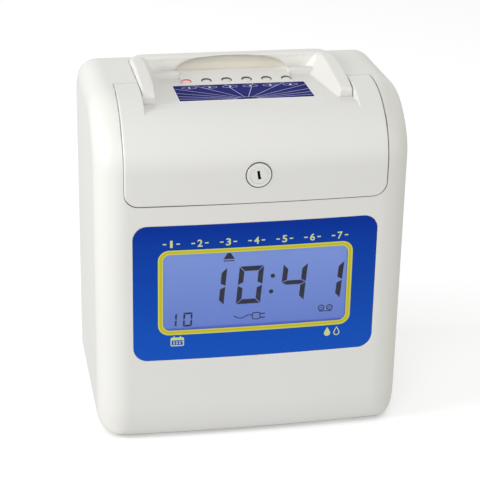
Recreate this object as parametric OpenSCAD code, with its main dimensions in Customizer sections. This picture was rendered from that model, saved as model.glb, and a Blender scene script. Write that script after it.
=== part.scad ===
// Desk-top time clock for punched-in-time cards: a moulded housing with a
// hinged and locked front cover, a blue display panel, a card slot between two
// raised arms, six column keys, and the card feed and print works inside.
// Millimetres. The working frame has Y = 0 at the front face and Z = 0 at the
// underside of the housing; place() moves it to the middle of the footprint.

/* [Body] */
// Width of the housing
body_w = 186; // [184:0.5:188]
// Depth of the housing
body_d = 130; // [129:0.5:131]
// Height of the housing's flat top above its underside
body_h = 208; // [207.5:0.1:208.2]
// Wall thickness of the housing
wall = 3; // [2.8:0.1:3.2]
// How far the front face falls back at the display panel's edge
crown = 1.8; // [1.4:0.1:2]
// Radius of the upright front corners
front_r = 18; // [16:1:20]
// Radius of the shoulders between top and sides
shoulder_r = 13; // [11:1:14]
// Height of the rubber feet
foot_h = 2; // [1.5:0.5:3]

/* [Display] */
// Width of the display panel
panel_w = 145; // [143:0.5:146]
// Height of the display panel
panel_h = 86; // [85:0.5:87]
// Height of the display panel's centre
panel_z = 94.76; // [94:0.01:95.5]
// Corner radius of the display panel
panel_r = 8.7; // [6:0.1:10]

/* [Door] */
// Half of the width of the opening that the door closes
door_x = 77.2; // [76.8:0.1:77.4]
// Height of the seam below the door
door_z = 149.6; // [149.4:0.1:150]
// Gap round the door
door_gap = 0.3; // [0.25:0.05:0.4]
// Distance of the seam behind the door from the front face
seam_y = 52.7; // [52.5:0.1:53]
// Distance of the hinge axis behind the front face
hinge_y = 57.7; // [57.6:0.1:57.9]
// Height of the hinge axis
hinge_z = 201.7; // [201.6:0.1:201.7]
// Height of the lock's centre
lock_z = 167; // [165:0.5:168]

/* [Card slot] */
// Half of the slot's width, for a card 85 wide
slot_x = 43.4; // [43.2:0.1:43.8]
// Gap between the card guides
slot_gap = 4.4; // [4.3:0.1:4.4]
// Distance between neighbouring column keys
key_pitch = 12.3; // [12.2:0.1:12.4]
// Distance that a column key travels
key_travel = 1; // [0.8:0.1:1]

/* [Card feed] */
// Radius of the card feed rollers
feed_r = 8; // [7.8:0.1:8]
// Radius of the pinch rollers
pinch_r = 5; // [4.8:0.1:5]
// Gear module of the feed drive
gear_m = 0.8; // [0.8:0.1:0.8]
// Teeth on the feed gear
gear_n = 45; // [45:1:45]
// Teeth on the motor pinion
pinion_n = 15; // [15:1:15]

/* [Hidden] */
$fn = 64;
e = 0.01;

half_w = body_w / 2;
// the lock's rim stands 1 in front of the face, and belongs to the footprint
rim = 1;
shift_y = -(body_d - rim) / 2;
// front-top curve: a quarter ellipse
ell_a = 48.5;
ell_b = 39;
ell_z = body_h - ell_b;
// back-top curve
back_r = 28;
// rounding along the foot of both sides
root_r = 10;
run = 0.05;

// throat: plan limits and surfaces
arm_x0 = 55;
arm_x1 = 62.4;
deck_z = 200.5;
throat_y0 = 35;
throat_y1 = 103;
slot_y0 = 88;
slot_y1 = slot_y0 + slot_gap;
card_y = 90;
key_y = 73.5;

// shafts
rod_y = 60; rod_z = 150;
screw_z = 134;
feed_y = card_y - 0.15 - feed_r; feed_z = 112;
pinch_y = card_y + 0.15 + pinch_r;
mesh_d = gear_m * (gear_n + pinion_n) / 2 + 0.1;
pinion_y = feed_y - mesh_d;

white = [0.90, 0.90, 0.87];

module place() { translate([0, shift_y, foot_h]) children(); }
module both() { children(); mirror([1, 0, 0]) children(); }
// box from its two corners
module bx(a, b) { translate(a) cube([b[0] - a[0], b[1] - a[1], b[2] - a[2]]); }
// cylinder along X from x0 to x1 at y, z
module cx(r, x0, x1, y, z) { translate([x0, y, z]) rotate([0, 90, 0]) cylinder(r = r, h = x1 - x0); }
// cylinder along Y from y0 to y1 at x, z
module cy(r, y0, y1, x, z) { translate([x, y0, z]) rotate([-90, 0, 0]) cylinder(r = r, h = y1 - y0); }
// cylinder along Z from z0 to z1 at x, y
module cz(r, z0, z1, x, y) { translate([x, y, z0]) cylinder(r = r, h = z1 - z0); }

function crown_y(x) = crown * pow(x / 72.5, 2);

// side view of the skin, y and z, moved in by t
function side_pts(t) = concat(
    [[5 + t, -5], [5 + t, 0]],
    [for (i = [1:6]) let (a = 15 * i) [5 * (1 - sin(a)) + t, 22 * (1 - cos(a))]],
    [for (i = [0:18]) let (a = 5 * i)
        [ell_a - (ell_a - t) * cos(a), ell_z + (ell_b - t) * sin(a)]],
    [for (i = [0:12]) let (a = 90 - 7.5 * i)
        [body_d - back_r + (back_r - t) * cos(a), body_h - back_r + (back_r - t) * sin(a)]],
    [[body_d - t, -5]]);

// top view of the skin, x and y, moved in by t
function plan_pts(t) = let (cx0 = half_w - front_r, c = crown_y(cx0) + front_r) concat(
    [for (i = [-12:12]) let (x = cx0 * i / 12) [x, crown_y(x) + t]],
    [for (i = [1:8]) let (a = -90 + 11.25 * i)
        [cx0 + (front_r - t) * cos(a), c + (front_r - t) * sin(a)]],
    [for (i = [0:6]) let (a = 15 * i)
        [half_w - 10 + (10 - t) * cos(a), body_d - 10 + (10 - t) * sin(a)]],
    [for (i = [0:6]) let (a = 90 + 15 * i)
        [-half_w + 10 + (10 - t) * cos(a), body_d - 10 + (10 - t) * sin(a)]],
    [for (i = [0:7]) let (a = 180 + 11.25 * i)
        [-cx0 + (front_r - t) * cos(a), c + (front_r - t) * sin(a)]]);

// front view of the skin, x and z, moved in by t
function front_pts(t) = concat(
    [for (i = [0:7]) let (a = -10 * i)
        [-half_w + root_r - (root_r - t) * cos(a), root_r - 0.5 + (root_r - t) * sin(a)]],
    [[-half_w + root_r - (root_r - t) * cos(70), -5], [half_w - root_r + (root_r - t) * cos(70), -5]],
    [for (i = [0:7]) let (a = -70 + 10 * i)
        [half_w - root_r + (root_r - t) * cos(a), root_r - 0.5 + (root_r - t) * sin(a)]],
    [for (i = [0:9]) let (a = 10 * i)
        [half_w - shoulder_r + (shoulder_r - t) * cos(a), body_h - shoulder_r + (shoulder_r - t) * sin(a)]],
    [for (i = [0:9]) let (a = 90 + 10 * i)
        [-half_w + shoulder_r + (shoulder_r - t) * cos(a), body_h - shoulder_r + (shoulder_r - t) * sin(a)]]);

// the solid inside the skin moved in by t, open downwards from z0
module form(t, z0) {
    intersection() {
        translate([-100, 0, 0]) rotate([90, 0, 90]) linear_extrude(200) polygon(side_pts(t));
        translate([0, 0, z0]) linear_extrude(220) polygon(plan_pts(t));
        translate([0, 140, 0]) rotate([90, 0, 0]) linear_extrude(150) polygon(front_pts(t));
    }
}

// rounded rectangle in x and z, standing from y0 to y1
module plate_y(w, h, r, y0, y1, zc) {
    translate([0, y1, zc]) rotate([90, 0, 0]) linear_extrude(y1 - y0) {
        square([w - 2 * r, h], center = true);
        square([w, h - 2 * r], center = true);
        for (i = [-1, 1], j = [-1, 1]) translate([i * (w / 2 - r), j * (h / 2 - r)]) circle(r);
    }
}

// sheet that follows the crowned face from depth a to depth b
module face_sheet(a, b) {
    linear_extrude(220) polygon(concat(
        [for (i = [-16:16]) let (x = 5 * i) [x, crown_y(x) + a]],
        [for (i = [-16:16]) let (x = -5 * i) [x, crown_y(x) + b]]));
}

// opening for the door, with play p inside it
module door_zone(p) {
    bx([-door_x + p, -5, door_z + 9], [door_x - p, seam_y - p, 230]);
    plate_y(2 * (door_x - p), 40 - p, 8.5 - p, -5, seam_y - p, door_z + p + (40 - p) / 2);
}

// outline of the throat in plan, grown by p
module throat_plan(p, z0, z1) {
    r = 7 + p;
    translate([0, 0, z0]) linear_extrude(z1 - z0) {
        translate([-arm_x1 - p, throat_y0 - p]) square([2 * (arm_x1 + p), throat_y1 - throat_y0 - 7 + p]);
        translate([-arm_x1 - p + r, throat_y0]) square([2 * (arm_x1 + p - r), throat_y1 - throat_y0 + p]);
        for (i = [-1, 1]) translate([i * (arm_x1 + p - r), throat_y1 + p - r]) circle(r);
    }
}

// four corners
module corners(x, y0, y1) { for (i = [-1, 1], y = [y0, y1]) translate([i * x, y, 0]) children(); }

module front_housing() place() color(white) difference() {
    union() {
        difference() {
            form(0, 0);
            form(wall, -3);
            // opening for the door and for the throat
            door_zone(0);
            throat_plan(0.9, 180, 230);
        }
        // upright posts for the base screws, with webs to the side walls
        corners(80, 26, 108) translate([0, 0, 3.1]) cylinder(r = 4, h = 15.9);
        both() for (y = [26, 108]) bx([81, y - 1.5, 9], [half_w - 1, y + 1.5, 19]);
        // posts for the rear cover
        both() for (z = [16, 164]) {
            cy(4, 112, body_d - wall + 0.5, 77, z);
            bx([78, 112, z - 1.5], [half_w - 1, body_d - 10, z + 1.5]);
        }
        // bosses for the main board
        for (i = [-1, 1], z = [50, 134]) cy(3.5, 3.4, 12.4, i * 66, z);
        // strike for the lock's cam
        bx([-12, 1.6, 139], [12, 11, 141]);
        bx([-12, 9, 139], [12, 11, 148.4]);
        // hinge ears under the shoulders
        both() bx([door_x, hinge_y - 5, hinge_z - 5], [81.6, hinge_y + 5, body_h - 1]);
    }
    // recess and window of the display
    intersection() {
        plate_y(panel_w, panel_h, panel_r, -3, 20, panel_z);
        face_sheet(-3, 1.4);
    }
    plate_y(114, 52, 3, -3, 8, 95.5);
    // bores for the hinge pins
    both() cx(1.5, door_x - 1, 80.6, hinge_y, hinge_z);
    // rear opening
    plate_y(164, 164, 6, 120, 140, 90.3);
    // screw holes
    corners(80, 26, 108) cylinder(r = 1.45, h = 16);
    for (i = [-1, 1], z = [16, 164]) cy(1.45, 114, 140, i * 77, z);
    for (i = [-1, 1], z = [50, 134]) cy(1.1, 5.4, 14, i * 66, z);
    // flat underside
    bx([-100, -10, -20], [100, 140, 0]);
}

module rear_cover() place() color([0.86, 0.86, 0.83]) difference() {
    plate_y(163.4, 163.4, 5.7, body_d - wall + 0.5, body_d, 90.3);
    for (i = [-1, 1], z = [16, 164]) {
        cy(1.6, 120, 140, i * 77, z);
        cy(3, body_d - 1.3, 140, i * 77, z);
    }
    // keyholes for hanging on a wall
    for (i = [-1, 1]) {
        cy(4.5, 120, 140, i * 50, 140);
        bx([i * 50 - 2.2, 120, 140], [i * 50 + 2.2, 140, 149]);
        cy(2.2, 120, 140, i * 50, 149);
    }
    // power inlet
    bx([53, 120, 14], [72, 140, 30]);
    // air slots
    for (i = [0:6]) bx([-74, 120, 40 + 5 * i], [-54, 140, 42 + 5 * i]);
}

module base_plate() place() color([0.80, 0.80, 0.77]) difference() {
    intersection() {
        translate([0, 0, 0.2]) linear_extrude(2.8) polygon(plan_pts(wall + 0.3));
        bx([-85, 5 + wall + 0.3, 0], [85, 126.5, 10]);
    }
    corners(80, 26, 108) {
        cylinder(r = 1.6, h = 8);
        translate([0, 0, -1]) cylinder(r = 3, h = 2.6);
    }
}

module rubber_feet() place() color([0.13, 0.13, 0.13])
    corners(70, 22, 112) difference() {
        translate([0, 0, -foot_h]) cylinder(r = 7, h = foot_h + 0.2);
        translate([0, 0, -foot_h - 1]) cylinder(r = 2, h = 2);
    }

module screw_up(h) {
    cylinder(r = 2.75, h = 1.3);
    cylinder(r = 1.4, h = h);
}

module base_screws() place() color([0.7, 0.7, 0.72])
    corners(80, 26, 108) translate([0, 0, 0.3]) difference() {
        screw_up(14);
        for (a = [0, 90]) rotate([0, 0, a]) bx([-1.5, -0.3, -1], [1.5, 0.3, 0.7]);
    }

module cover_screws() place() color([0.7, 0.7, 0.72])
    for (i = [-1, 1], z = [16, 164]) translate([i * 77, body_d, z]) rotate([90, 0, 0])
        difference() {
            screw_up(13);
            for (a = [0, 90]) rotate([0, 0, a]) bx([-1.5, -0.3, -1], [1.5, 0.3, 0.7]);
        }

module door() place() color(white) difference() {
    union() {
        intersection() {
            union() {
                // skin, with the recess in front of the throat taken out; the rear
                // edge is round about the hinge, so that it lifts past the housing
                difference() {
                    form(0, 0);
                    form(2.4, -3);
                    bx([-63.5, 16, deck_z], [63.5, 60, 230]);
                    cx(8.25, -90, 90, hinge_y, hinge_z);
                }
                // stiffening returns along both sides
                both() intersection() {
                    difference() { form(0.5, 0); form(8, -3); }
                    bx([door_x - 2.6, -5, 100], [door_x, 46, 230]);
                }
                intersection() {
                    form(0.5, 0);
                    union() {
                        // floor of the recess
                        bx([-65, 14, deck_z - 2.2], [65, 34.3, deck_z]);
                        // walls beside the arms
                        both() difference() {
                            bx([63.5, 20, deck_z - 2.2], [65.5, hinge_y, 230]);
                            cx(8.4, 60, 70, hinge_y, hinge_z);
                        }
                    }
                }
                // seat of the lock
                cy(10.5, 1.5, 6, 0, lock_z);
            }
            door_zone(door_gap);
        }
        // swan-neck hinge arms, which pass round the housing's edge
        intersection() {
            form(0.6, 0);
            both() {
                cx(3, 63.7, door_x - 0.4, hinge_y, hinge_z);
                translate([66.5, hinge_y, hinge_z]) rotate([90, 0, 90]) linear_extrude(7) {
                    intersection() {
                        difference() { circle(11.2); circle(8.6); }
                        polygon([[0, 0], [-20, 13], [-20, -15], [-9.5, -16]]);
                    }
                    rotate(236) translate([1, -1.4]) square([9.6, 2.8]);
                }
            }
        }
    }
    both() cx(1.5 + run, 63, 90, hinge_y, hinge_z);
    cy(6.6, -5, 30, 0, lock_z);
}

module hinge_pins() place() color([0.75, 0.75, 0.77])
    both() cx(1.5, 58.2, 80.6, hinge_y, hinge_z);

module lock_barrel() place() color([0.8, 0.8, 0.8]) difference() {
    union() {
        cy(7.8, -rim, 0, 0, lock_z);
        cy(6.5, -rim, 11.5, 0, lock_z);
    }
    cy(5.2 + run, -5, 20, 0, lock_z);
}

module lock_nut() place() color([0.72, 0.72, 0.72]) difference() {
    translate([0, 6, lock_z]) rotate([-90, 0, 0]) cylinder(r = 9.5, h = 2.6, $fn = 6);
    cy(6.5, 0, 20, 0, lock_z);
}

module lock_plug() place() color([0.85, 0.85, 0.84]) difference() {
    union() {
        cy(5.2, -rim + 0.25, 11.8, 0, lock_z);
        translate([0, 0, lock_z]) bx([-2.4, 11, -2.4], [2.4, 13.4, 2.4]);
    }
    translate([0, 0, lock_z]) rotate([0, -8, 0]) bx([-0.75, -5, -2.6], [0.75, 7, 2.6]);
}

// at rest the cam points sideways, and the door is free
module lock_cam() place() color([0.7, 0.7, 0.72]) difference() {
    translate([0, 0, lock_z]) union() {
        bx([0, 11.8, -4.5], [18, 13.4, 4.5]);
        cy(4.5, 11.8, 13.4, 0, 0);
        cy(4.5, 11.8, 13.4, 18, 0);
    }
    translate([0, 0, lock_z]) bx([-2.4, 10, -2.4], [2.4, 15, 2.4]);
}

// top line of the arms, y and z
arm_top = [[34, 204.2], [36, 205.6], [40, 207.3], [48, 208.9], [58, 210.4], [68, 211.4],
    [78, 211.9], [98, 211.9], [104, 210.4]];

module card_throat() place() color(white) difference() {
    union() {
        difference() {
            intersection() {
                throat_plan(0, deck_z - 2.5, 215);
                translate([-80, 0, 0]) rotate([90, 0, 90]) linear_extrude(160)
                    polygon(concat(arm_top, [[104, 190], [34, 190]]));
            }
            // tray between the arms, narrower towards the back wall
            hull() {
                bx([-arm_x0, 30, deck_z], [arm_x0, 31, 220]);
                bx([-46, 92, deck_z], [46, 93, deck_z + 1]);
                bx([-54, 92, 211], [54, 93, 220]);
            }
        }
        // tongue that rises from the deck to the slot, and a step on each side of it
        translate([-34, 0, 0]) rotate([90, 0, 90]) linear_extrude(68)
            polygon([[72, deck_z - 1], [67.4, deck_z], [87, 203.8], [slot_y0, 203.8], [slot_y0, deck_z - 1]]);
        both() bx([33.9, 81.6, deck_z - 1], [49.5, slot_y0, 204.1]);
        // walls of the slot
        bx([-47, 85.5, 191.3], [47, 96, deck_z - 1]);
        // legs down to the chassis
        both() bx([59.9, 38, 187.5], [arm_x1, 90, deck_z - 1]);
        both() bx([53.5, 58, 187.5], [61, 82, 190]);
        // posts for the key board
        for (i = [-1, 1]) cz(2, 191, deck_z - 1, i * 38, key_y);
    }
    // slot with a lead-in along its front
    bx([-slot_x, slot_y0, 180], [slot_x, slot_y1, 230]);
    translate([-slot_x, 0, 0]) rotate([90, 0, 90]) linear_extrude(2 * slot_x)
        polygon([[86.4, 206], [86.4, 204.2], [88.01, 202], [88.01, 206]]);
    // finger scoop in the back wall, a flat arch
    translate([0, 98, 0]) rotate([90, 0, 0]) linear_extrude(7)
        polygon([for (i = [0:24]) let (a = 10.7 + 158.6 * i / 24)
            [34.5 * sign(cos(a)) * pow(abs(cos(a)), 0.77), 198 + 12.8 * pow(sin(a), 0.77)]]);
    // key holes
    for (i = [-2.5:1:2.5]) cz(3.1, 190, 230, i * key_pitch, key_y);
    // bores for the hinge pins and the screws
    both() cx(1.5, 58.2, 70, hinge_y, hinge_z);
    both() cz(1.6, 180, 194, 56.5, 70);
    for (i = [-1, 1]) cz(0.8, 190, 196, i * 38, key_y);
}

module throat_screws() place() color([0.7, 0.7, 0.72]) union() {
    both() {
        cz(2.75, 190, 191.6, 56.5, 70);
        cz(1.4, 181, 190.5, 56.5, 70);
    }
    // two small ones hold the key board
    for (i = [-1, 1]) {
        cz(1.6, 188.2, 189.4, i * 38, key_y);
        cz(0.75, 189, 195, i * 38, key_y);
    }
}

module deck_label() place() color([0.16, 0.16, 0.52])
    translate([0, 0, deck_z]) linear_extrude(0.2) {
        translate([-39.5, 36]) square([79, 31.1]);
        translate([-40.5, 37]) square([81, 29.1]);
        for (i = [-39.5, 39.5], j = [37, 66.1]) translate([i, j]) circle(1);
    }

// column key: cap, collar under the deck, and stem
module column_key(n) place() color([0.93, 0.93, 0.9])
    translate([(n - 3.5) * key_pitch, key_y, 0]) {
        translate([0, 0, 197]) cylinder(r = 2.8, h = 4.3);
        translate([0, 0, 196.6]) cylinder(r = 3.8, h = 1.2);
        translate([0, 0, 195]) cylinder(r = 1.5, h = 2);
    }
module column_key_1() { column_key(1); }
module column_key_2() { column_key(2); }
module column_key_3() { column_key(3); }
module column_key_4() { column_key(4); }
module column_key_5() { column_key(5); }
module column_key_6() { column_key(6); }

module key_board() place() color([0.1, 0.4, 0.2]) difference() {
    bx([-42, key_y - 6.5, 189.4], [42, key_y + 6.5, 191]);
    for (i = [-1, 1]) cz(0.8, 180, 196, i * 38, key_y);
}

module key_switches() place() color([0.12, 0.12, 0.12])
    for (i = [-2.5:1:2.5]) translate([i * key_pitch, key_y, 0]) {
        bx([-3, -3, 191], [3, 3, 193]);
        cz(1.6, 192.5, 193.8, 0, 0);
    }

module display_lens() place() color([0.05, 0.28, 0.74])
    intersection() {
        plate_y(panel_w - 0.2, panel_h - 0.2, panel_r - 0.1, -3, 20, panel_z);
        face_sheet(0.1, 1.4);
    }

module lcd_glass() place() color([0.55, 0.58, 0.85]) bx([-56.2, 2.8, 70], [56.2, 5, 121]);
module backlight() place() color([0.8, 0.85, 1]) bx([-56, 5.1, 70.2], [56, 8.1, 120.8]);

module lcd_holder() place() color([0.85, 0.85, 0.85]) difference() {
    bx([-61, 4.7, 65.5], [61, 12.4, 125.5]);
    bx([-56.3, 3, 69.9], [56.3, 5.05, 121.1]);
    bx([-56.1, 3, 70.1], [56.1, 8.2, 120.9]);
    bx([-40, 3, 80], [40, 20, 110]);
}

module main_board() place() color([0.1, 0.4, 0.2]) difference() {
    bx([-71, 12.4, 45.5], [71, 14, 138.5]);
    for (i = [-1, 1], z = [50, 134]) cy(1.3, 10, 20, i * 66, z);
}

module board_screws() place() color([0.7, 0.7, 0.72])
    for (i = [-1, 1], z = [50, 134]) {
        cy(1.05, 6, 15, i * 66, z);
        cy(2.4, 14, 15.4, i * 66, z);
    }

module processor() place() color([0.1, 0.1, 0.1]) bx([-10, 14, 84], [10, 16.2, 104]);
module buzzer() place() color([0.12, 0.12, 0.12]) cy(6, 14, 20, 48, 124);

module chassis() place() color([0.75, 0.76, 0.78]) difference() {
    union() {
        bx([-51.5, 25, 3], [51.5, 120, 4.5]);
        both() bx([50, 25, 3], [51.5, 120, 187.5]);
        both() bx([50, 56, 186], [62, 84, 187.5]);
    }
    cx(3 + run, -60, 60, rod_y, rod_z);
    cx(3 + run, -60, 60, rod_y, screw_z);
    cx(3 + run, -60, 60, feed_y, feed_z);
    cx(2 + run, -60, 60, pinch_y, feed_z);
    cx(2.6, 40, 60, pinion_y, feed_z);
    both() cz(1.5, 180, 194, 56.5, 70);
}

module card_guide_front() place() color([0.2, 0.2, 0.21]) difference() {
    bx([-50, slot_y0 - 1.5, 38], [50, slot_y0, 191.3]);
    // windows for the print head and the feed rollers
    bx([-41, 80, 143], [41, 95, 157]);
    both() bx([16, 80, feed_z - 9], [30, 95, feed_z + 9]);
}

module card_guide_rear() place() color([0.2, 0.2, 0.21]) difference() {
    union() {
        bx([-50, slot_y1, 38], [50, slot_y1 + 1.5, 191.3]);
        both() bx([slot_x + 0.2, slot_y0, 44], [46, slot_y1 + 0.5, 191.3]);
    }
    both() bx([16, slot_y1 - 1, feed_z - 7], [30, 99, feed_z + 7]);
    // groove for the pinch shaft
    bx([-51, pinch_y - 2.2, feed_z - 2.6], [51, 99, feed_z + 2.6]);
}

module card_stop() place() color([0.7, 0.7, 0.72]) bx([-50, slot_y0, 40], [50, slot_y1, 44]);
module card_sensor() place() color([0.12, 0.12, 0.12]) bx([-7, slot_y1 + 1.5, 62], [7, slot_y1 + 9, 74]);
module guide_rod() place() color([0.82, 0.82, 0.84]) cx(3, -55, 55, rod_y, rod_z);

// the motor's shaft is the screw that drives the carriage
module lead_screw() place() color([0.7, 0.7, 0.72]) union() {
    cx(3, -68, 54, rod_y, screw_z);
    cx(4.5, 52, 53.5, rod_y, screw_z);
}

module carriage_motor() place() color([0.35, 0.36, 0.38]) difference() {
    union() {
        cx(12, -74, -53, rod_y, screw_z);
        bx([-53, rod_y - 12.5, screw_z - 12.5], [-51.5, rod_y + 12.5, screw_z + 12.5]);
    }
    cx(3 + run, -70, -40, rod_y, screw_z);
}

module carriage() place() color([0.16, 0.16, 0.17]) difference() {
    bx([-14, rod_y - 8, 127], [14, rod_y + 8, 157]);
    cx(3 + run, -30, 30, rod_y, rod_z);
    cx(3 + run, -30, 30, rod_y, screw_z);
}

module print_head() place() color([0.3, 0.31, 0.33]) union() {
    bx([-9, rod_y + 8, 141], [9, 81, 159]);
    bx([-4, 80, 145], [4, 83.8, 155]);
    for (z = [143, 146, 149, 152, 155]) bx([-9.6, rod_y + 9, z], [9.6, 79, z + 1.2]);
}

module ribbon_cartridge() place() color([0.1, 0.1, 0.11]) difference() {
    union() {
        bx([-50, 48, 161], [50, 78, 176]);
        both() bx([42.3, 72, 143], [47, 85.6, 170]);
    }
    cz(2 + run, 165, 190, 32, 62);
    both() bx([40, 84.4, 144.8], [44.3, 84.8, 155.2]);
}

module ribbon() place() color([0.25, 0.1, 0.35]) bx([-44.3, 84.45, 145], [44.3, 84.75, 155]);

module ribbon_knob() place() color([0.2, 0.2, 0.22]) difference() {
    union() {
        cz(2, 166, 178, 32, 62);
        cz(6.5, 176.3, 182, 32, 62);
    }
    for (a = [0:30:150]) translate([32, 62, 0]) rotate([0, 0, a]) bx([5.9, -0.6, 177], [8, 0.6, 190]);
    for (a = [180:30:330]) translate([32, 62, 0]) rotate([0, 0, a]) bx([5.9, -0.6, 177], [8, 0.6, 190]);
}

module feed_shaft() place() color([0.8, 0.8, 0.82]) cx(3, -54, 59, feed_y, feed_z);

module feed_rollers() place() color([0.15, 0.15, 0.15])
    both() difference() {
        cx(feed_r, 18, 28, feed_y, feed_z);
        cx(3, 10, 40, feed_y, feed_z);
    }

// half of a tooth's angle at radius r, in degrees
function tooth_a(n, r) = let (rp = gear_m * n / 2, rb = rp * cos(20), q = max(r, rb) / rb,
    t = sqrt(max(q * q - 1, 0))) (PI * gear_m / 2 - 0.28) / (gear_m * n) * 180 / PI
    + 0.014904 * 180 / PI - (t * 180 / PI - atan(t));

// spur gear with involute teeth, flat on z = 0
module gear(n, w) {
    rp = gear_m * n / 2;
    radii = [rp - 1, rp - 0.5, rp - 0.25, rp, rp + 0.3, rp + 0.6];
    linear_extrude(w) polygon([for (k = [0:n - 1]) each concat(
        [for (r = radii) let (a = k * 360 / n - tooth_a(n, r)) [r * cos(a), r * sin(a)]],
        [for (i = [5:-1:0]) let (r = radii[i], a = k * 360 / n + tooth_a(n, r)) [r * cos(a), r * sin(a)]])]);
}

module feed_gear() place() color([0.9, 0.9, 0.85]) difference() {
    union() {
        translate([53, feed_y, feed_z]) rotate([90, 0, 90]) gear(gear_n, 4);
        cx(6, 52, 58, feed_y, feed_z);
    }
    cx(3, 40, 70, feed_y, feed_z);
    for (a = [0:60:300]) translate([0, feed_y, feed_z]) rotate([a, 0, 0]) cx(3.2, 50, 60, 11.2, 0);
}

module feed_motor() place() color([0.6, 0.6, 0.62]) difference() {
    union() {
        cx(12, 22, 50, pinion_y, feed_z);
        cx(4, 19, 23, pinion_y, feed_z);
    }
    cx(1.5 + run, 30, 60, pinion_y, feed_z);
}

module motor_pinion() place() color([0.85, 0.72, 0.35]) union() {
    translate([53, pinion_y, feed_z]) rotate([90, 0, 90]) gear(pinion_n, 4);
    cx(1.5, 31, 57, pinion_y, feed_z);
}

module pinch_shaft() place() color([0.8, 0.8, 0.82]) cx(2, -53, 53, pinch_y, feed_z);

module pinch_rollers() place() color([0.15, 0.15, 0.15])
    both() difference() {
        cx(pinch_r, 18, 28, pinch_y, feed_z);
        cx(2, 10, 40, pinch_y, feed_z);
    }

module transformer() place() color([0.35, 0.33, 0.3]) union() {
    bx([-83, 66, 3], [-53, 98, 43]);
    bx([-79, 60, 9], [-57, 103, 37]);
}

module power_board() place() color([0.1, 0.4, 0.2]) union() {
    bx([53.5, 56, 8], [84, 98, 9.6]);
    for (i = [56.5, 81], j = [59, 95]) cz(2.5, 3, 8.5, i, j);
}

module power_capacitor() place() color([0.1, 0.12, 0.3]) cz(6.5, 9.6, 33, 64, 84);

module power_inlet() place() color([0.1, 0.1, 0.1]) difference() {
    bx([53, 110, 14], [72, body_d, 30]);
    // figure-of-eight socket
    cy(4.4, 119, 140, 62.5 - 4.3, 22);
    cy(4.4, 119, 140, 62.5 + 4.3, 22);
    bx([62.5 - 4.3, 119, 18.2], [62.5 + 4.3, 140, 25.8]);
    cy(1.2, 105, 140, 62.5 - 4.3, 22);
    cy(1.2, 105, 140, 62.5 + 4.3, 22);
}

module inlet_pins() place() color([0.8, 0.75, 0.5])
    for (i = [-4.3, 4.3]) cy(1.2, 107, 128, 62.5 + i, 22);

module backup_battery() place() color([0.2, 0.5, 0.3])
    for (i = [0:2]) cx(7, -66, -51.5, 60 + 14.6 * i, 70);

front_housing();
rear_cover();
base_plate();
rubber_feet();
base_screws();
cover_screws();
door();
hinge_pins();
lock_barrel();
lock_nut();
lock_plug();
lock_cam();
card_throat();
throat_screws();
deck_label();
column_key_1();
column_key_2();
column_key_3();
column_key_4();
column_key_5();
column_key_6();
key_board();
key_switches();
display_lens();
lcd_glass();
backlight();
lcd_holder();
main_board();
board_screws();
processor();
buzzer();
chassis();
card_guide_front();
card_guide_rear();
card_stop();
card_sensor();
guide_rod();
lead_screw();
carriage_motor();
carriage();
print_head();
ribbon_cartridge();
ribbon();
ribbon_knob();
feed_shaft();
feed_rollers();
feed_gear();
feed_motor();
motor_pinion();
pinch_shaft();
pinch_rollers();
transformer();
power_board();
power_capacitor();
power_inlet();
inlet_pins();
backup_battery();
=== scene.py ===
import math
import bpy
import bmesh
import numpy as np
from mathutils import Matrix, Vector


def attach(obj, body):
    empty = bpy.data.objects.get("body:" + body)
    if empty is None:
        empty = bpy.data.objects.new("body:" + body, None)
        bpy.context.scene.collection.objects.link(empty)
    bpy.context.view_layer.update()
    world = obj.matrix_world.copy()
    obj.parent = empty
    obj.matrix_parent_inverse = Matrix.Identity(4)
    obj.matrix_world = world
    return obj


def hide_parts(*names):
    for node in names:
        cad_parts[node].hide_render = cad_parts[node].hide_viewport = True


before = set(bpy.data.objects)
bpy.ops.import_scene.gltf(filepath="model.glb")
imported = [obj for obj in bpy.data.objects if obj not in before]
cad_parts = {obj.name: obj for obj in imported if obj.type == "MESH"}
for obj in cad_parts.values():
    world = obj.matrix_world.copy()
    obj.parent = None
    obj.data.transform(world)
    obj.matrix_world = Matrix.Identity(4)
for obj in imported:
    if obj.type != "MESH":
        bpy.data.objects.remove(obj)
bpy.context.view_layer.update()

# ---------------------------------------------------------------- frames
# Shapes are written in millimetres with Y = 0 at the front face and Z = 0 at
# the underside of the housing; these shifts bring them to the row frame.
SY, SZ = -64.5, 2.0
scene = bpy.context.scene


def row(p):
    """millimetre points to metres in the row frame"""
    p = np.asarray(p, float)
    return (p + np.array([0.0, SY, SZ])) / 1000.0


def link(name, me):
    ob = bpy.data.objects.new(name, me)
    scene.collection.objects.link(ob)
    return ob


# ---------------------------------------------------------------- camera
def make_camera():
    psi, th, rho = math.radians(11.004061), math.radians(22.806901), math.radians(1.142331)
    fw = Vector((math.sin(psi) * math.cos(th), math.cos(psi) * math.cos(th), -math.sin(th)))
    rt = Vector((math.cos(psi), -math.sin(psi), 0))
    up = rt.cross(fw)
    r2 = rt * math.cos(rho) + up * math.sin(rho)
    u2 = -rt * math.sin(rho) + up * math.cos(rho)
    f, dist = 1553.4619, 911.96777
    x0 = (256.23163 - 240) / f * dist
    y0 = -(281.83983 - 240) / f * dist
    c = Vector((0, 0, 100)) - r2 * x0 - u2 * y0 - fw * dist
    c = (c + Vector((0, SY, SZ))) / 1000
    cam = bpy.data.cameras.new("camera")
    cam.lens, cam.sensor_width, cam.sensor_fit = f * 36 / 480, 36, "HORIZONTAL"
    cam.clip_start, cam.clip_end = 0.05, 50
    ob = link("camera", cam)
    ob.matrix_world = Matrix(((r2.x, u2.x, -fw.x, c.x), (r2.y, u2.y, -fw.y, c.y),
                              (r2.z, u2.z, -fw.z, c.z), (0, 0, 0, 1)))
    scene.camera = ob


make_camera()


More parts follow.
